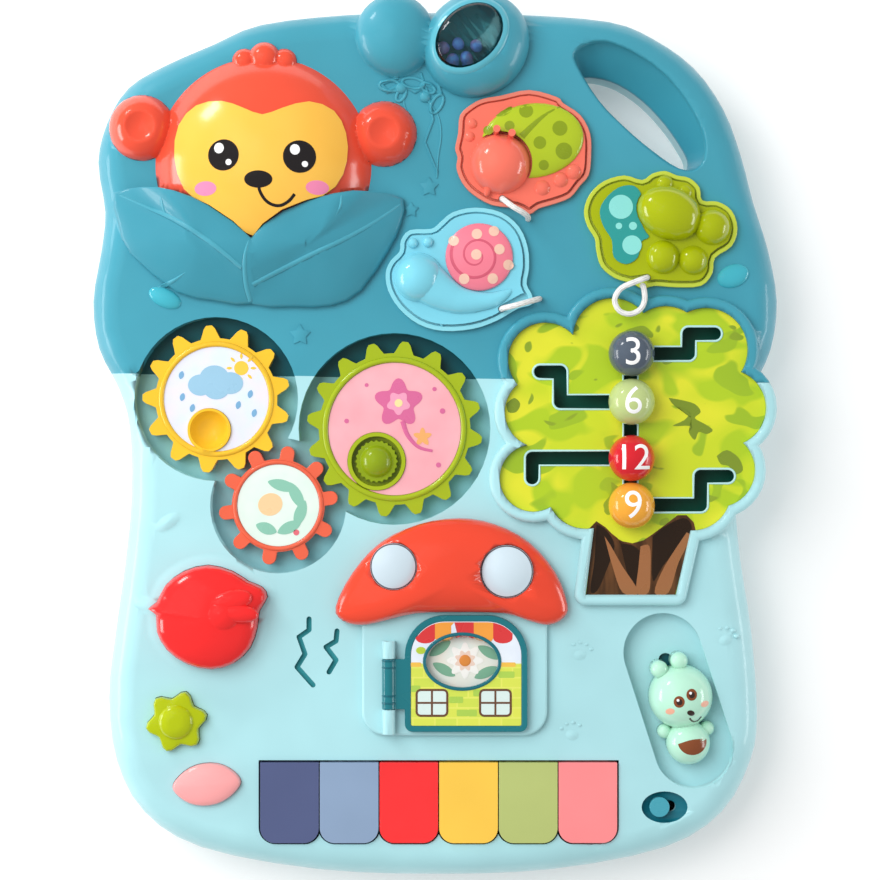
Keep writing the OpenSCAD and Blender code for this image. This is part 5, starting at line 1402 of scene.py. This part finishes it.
# ---- Inner pieces and fasteners ----
def paint_node(node, finish):
    """Gives a CAD node that stays as it is its material."""
    data = frame["nodes"][node].data
    data.materials.clear()
    data.materials.append(finish)


def laminate(name, colour, copper):
    """Printed circuit board: green lacquer over copper tracks."""
    finish, tree, where = new_finish(name)
    tracks = add_node(tree, "TexVoronoi", {"Vector": where, "Scale": 1 / (5 * MM)}, distance="MANHATTAN",
                      feature="F1").outputs["Distance"]
    lines = add_node(tree, "MapRange", {"Value": tracks, "From Min": 0.45, "From Max": 0.5}).outputs[0]
    tone = tinted(tree, lines, linear(colour), linear(copper))
    shade = add_node(tree, "BsdfPrincipled", {"Base Color": tone, "Roughness": 0.4, "Coat Weight": 0.4})
    return close_finish(finish, tree, shade)


def paper_cone(name, colour):
    """Pressed speaker paper on a dark basket."""
    finish, tree, where = new_finish(name)
    fibre = varied(tree, where, 1.5, 0.0, 1.0)
    tone = tinted(tree, fibre, linear(colour), linear("#2C3035"))
    bump = grit_bump(tree, where, 0.4, 0.2)
    shade = add_node(tree, "BsdfPrincipled", {
        "Base Color": tone, "Roughness": 0.8, "Normal": bump.outputs[0]})
    return close_finish(finish, tree, shade)


def paint_inside():
    """Materials of the pieces inside the case and of its fasteners and feet."""
    steel = rolled_steel("steel_plated", "#B8BCC0")
    for node in ("case_screws", "hinge_pin", "key_rod", "battery_springs"):
        paint_node(node, steel)
    paint_node("rubber_feet", moulded_rubber("rubber_feet_grey", "#5B6468"))
    paint_node("rubber_keypad", moulded_rubber("rubber_keypad_grey", "#D9DCDD"))
    paint_node("circuit_board", laminate("board_laminate", "#2E7D4F", "#5DA56B"))
    paint_node("speaker", paper_cone("speaker_paper", "#3A3F44"))


# Wall of the two covers, and the cloth glued under it: its two corners, in millimetres
COVER_WALL = 2.5 * MM
CLOTH_BOX = (-72, -128, -45, -88)


def woven_cloth(name):
    """Thin teal dust cloth: a fine check of two tints, drawn at half a millimetre so that it shows."""
    cloth, tree, where = new_finish(name)
    weave = add_node(tree, "TexChecker", {"Vector": where, "Scale": 1 / (0.5 * MM)}).outputs["Fac"]
    tone = tinted(tree, weave, linear("#2F8E97"), linear("#47A6AC"))
    shade = add_node(tree, "BsdfPrincipled", {"Base Color": tone, "Roughness": 0.8})
    return close_finish(cloth, tree, shade)


def hang_grille_cloth():
    """Teal dust cloth behind the speaker's slots, glued under the cover."""
    cloth = woven_cloth("grille_cloth")
    under = DECK_Z - COVER_WALL - 0.35 * MM
    patch("speaker_cloth", box_outline(*CLOTH_BOX, 3.0), lambda x, y: under, cloth, "lower_cover", lift=0.3,
          thick=0.3)


# ---- Mushroom house and hinge ----
def trim_cap():
    """Dark joints round the lens spots of the mushroom cap."""
    cap_top = surface_of("cap_spots")
    rim = moulded_abs("abs_spot_rims", "#5B4A50", rough=0.3)
    for side, x, y, r in (("left", -20.5, -64.5, 11.1), ("right", 35.5, -67, 12.6)):
        ring = oval(millimetres(x, y), r * MM, r * MM, 0, 56)
        stroke("spot_rim_" + side, ring, 0.7, cap_top, rim, "cap_spots", lift=-0.1, flat=0.8, closed=True)


# Axis of the door's hinge as its x and z, the radius that its rings lie on and their places, in millimetres
HINGE_AXIS = (-23, 51.6)
HINGE_RADIUS = 2.75
HINGE_RINGS = (-111.6, -115.0, -129.0, -132.6)


def colour_hinge():
    """Grip rings round the barrel of the door's hinge, just proud of it."""
    teal = moulded_abs("abs_hinge_rings", "#176673", rough=0.25)
    x, z = HINGE_AXIS
    for k, y in enumerate(HINGE_RINGS):
        groove = [Vector((x * MM + HINGE_RADIUS * MM * math.cos(a), y * MM,
                          z * MM + HINGE_RADIUS * MM * math.sin(a)))
                  for a in (math.radians(15 * s) for s in range(24))]
        bar = rod(groove, 0.78 * MM, closed=True)
        finish_piece(bar, f"hinge_ring_{k}", teal, "house_door", smooth=60)


# ---- The whole panel ----
place_camera()
lay_cords()
light_studio()
lay_floor()
dress_mouldings()
paint_monkey()
raise_veins()
gear_rims()
print_rain_disc()
print_leaves_disc()
print_petals_disc()
number_balls()
paint_tree()
paint_door()
paint_peek_picture()
paint_ladybug()
shape_snail_body()
paint_snail()
paint_butterfly()
bridge_tray_gaps()
polish_pebbles()
paint_bear()
hang_slider_shutter()
feather_bird()
tie_balloons()
glaze_rattle()
paint_inside()
hang_grille_cloth()
trim_cap()
colour_hinge()
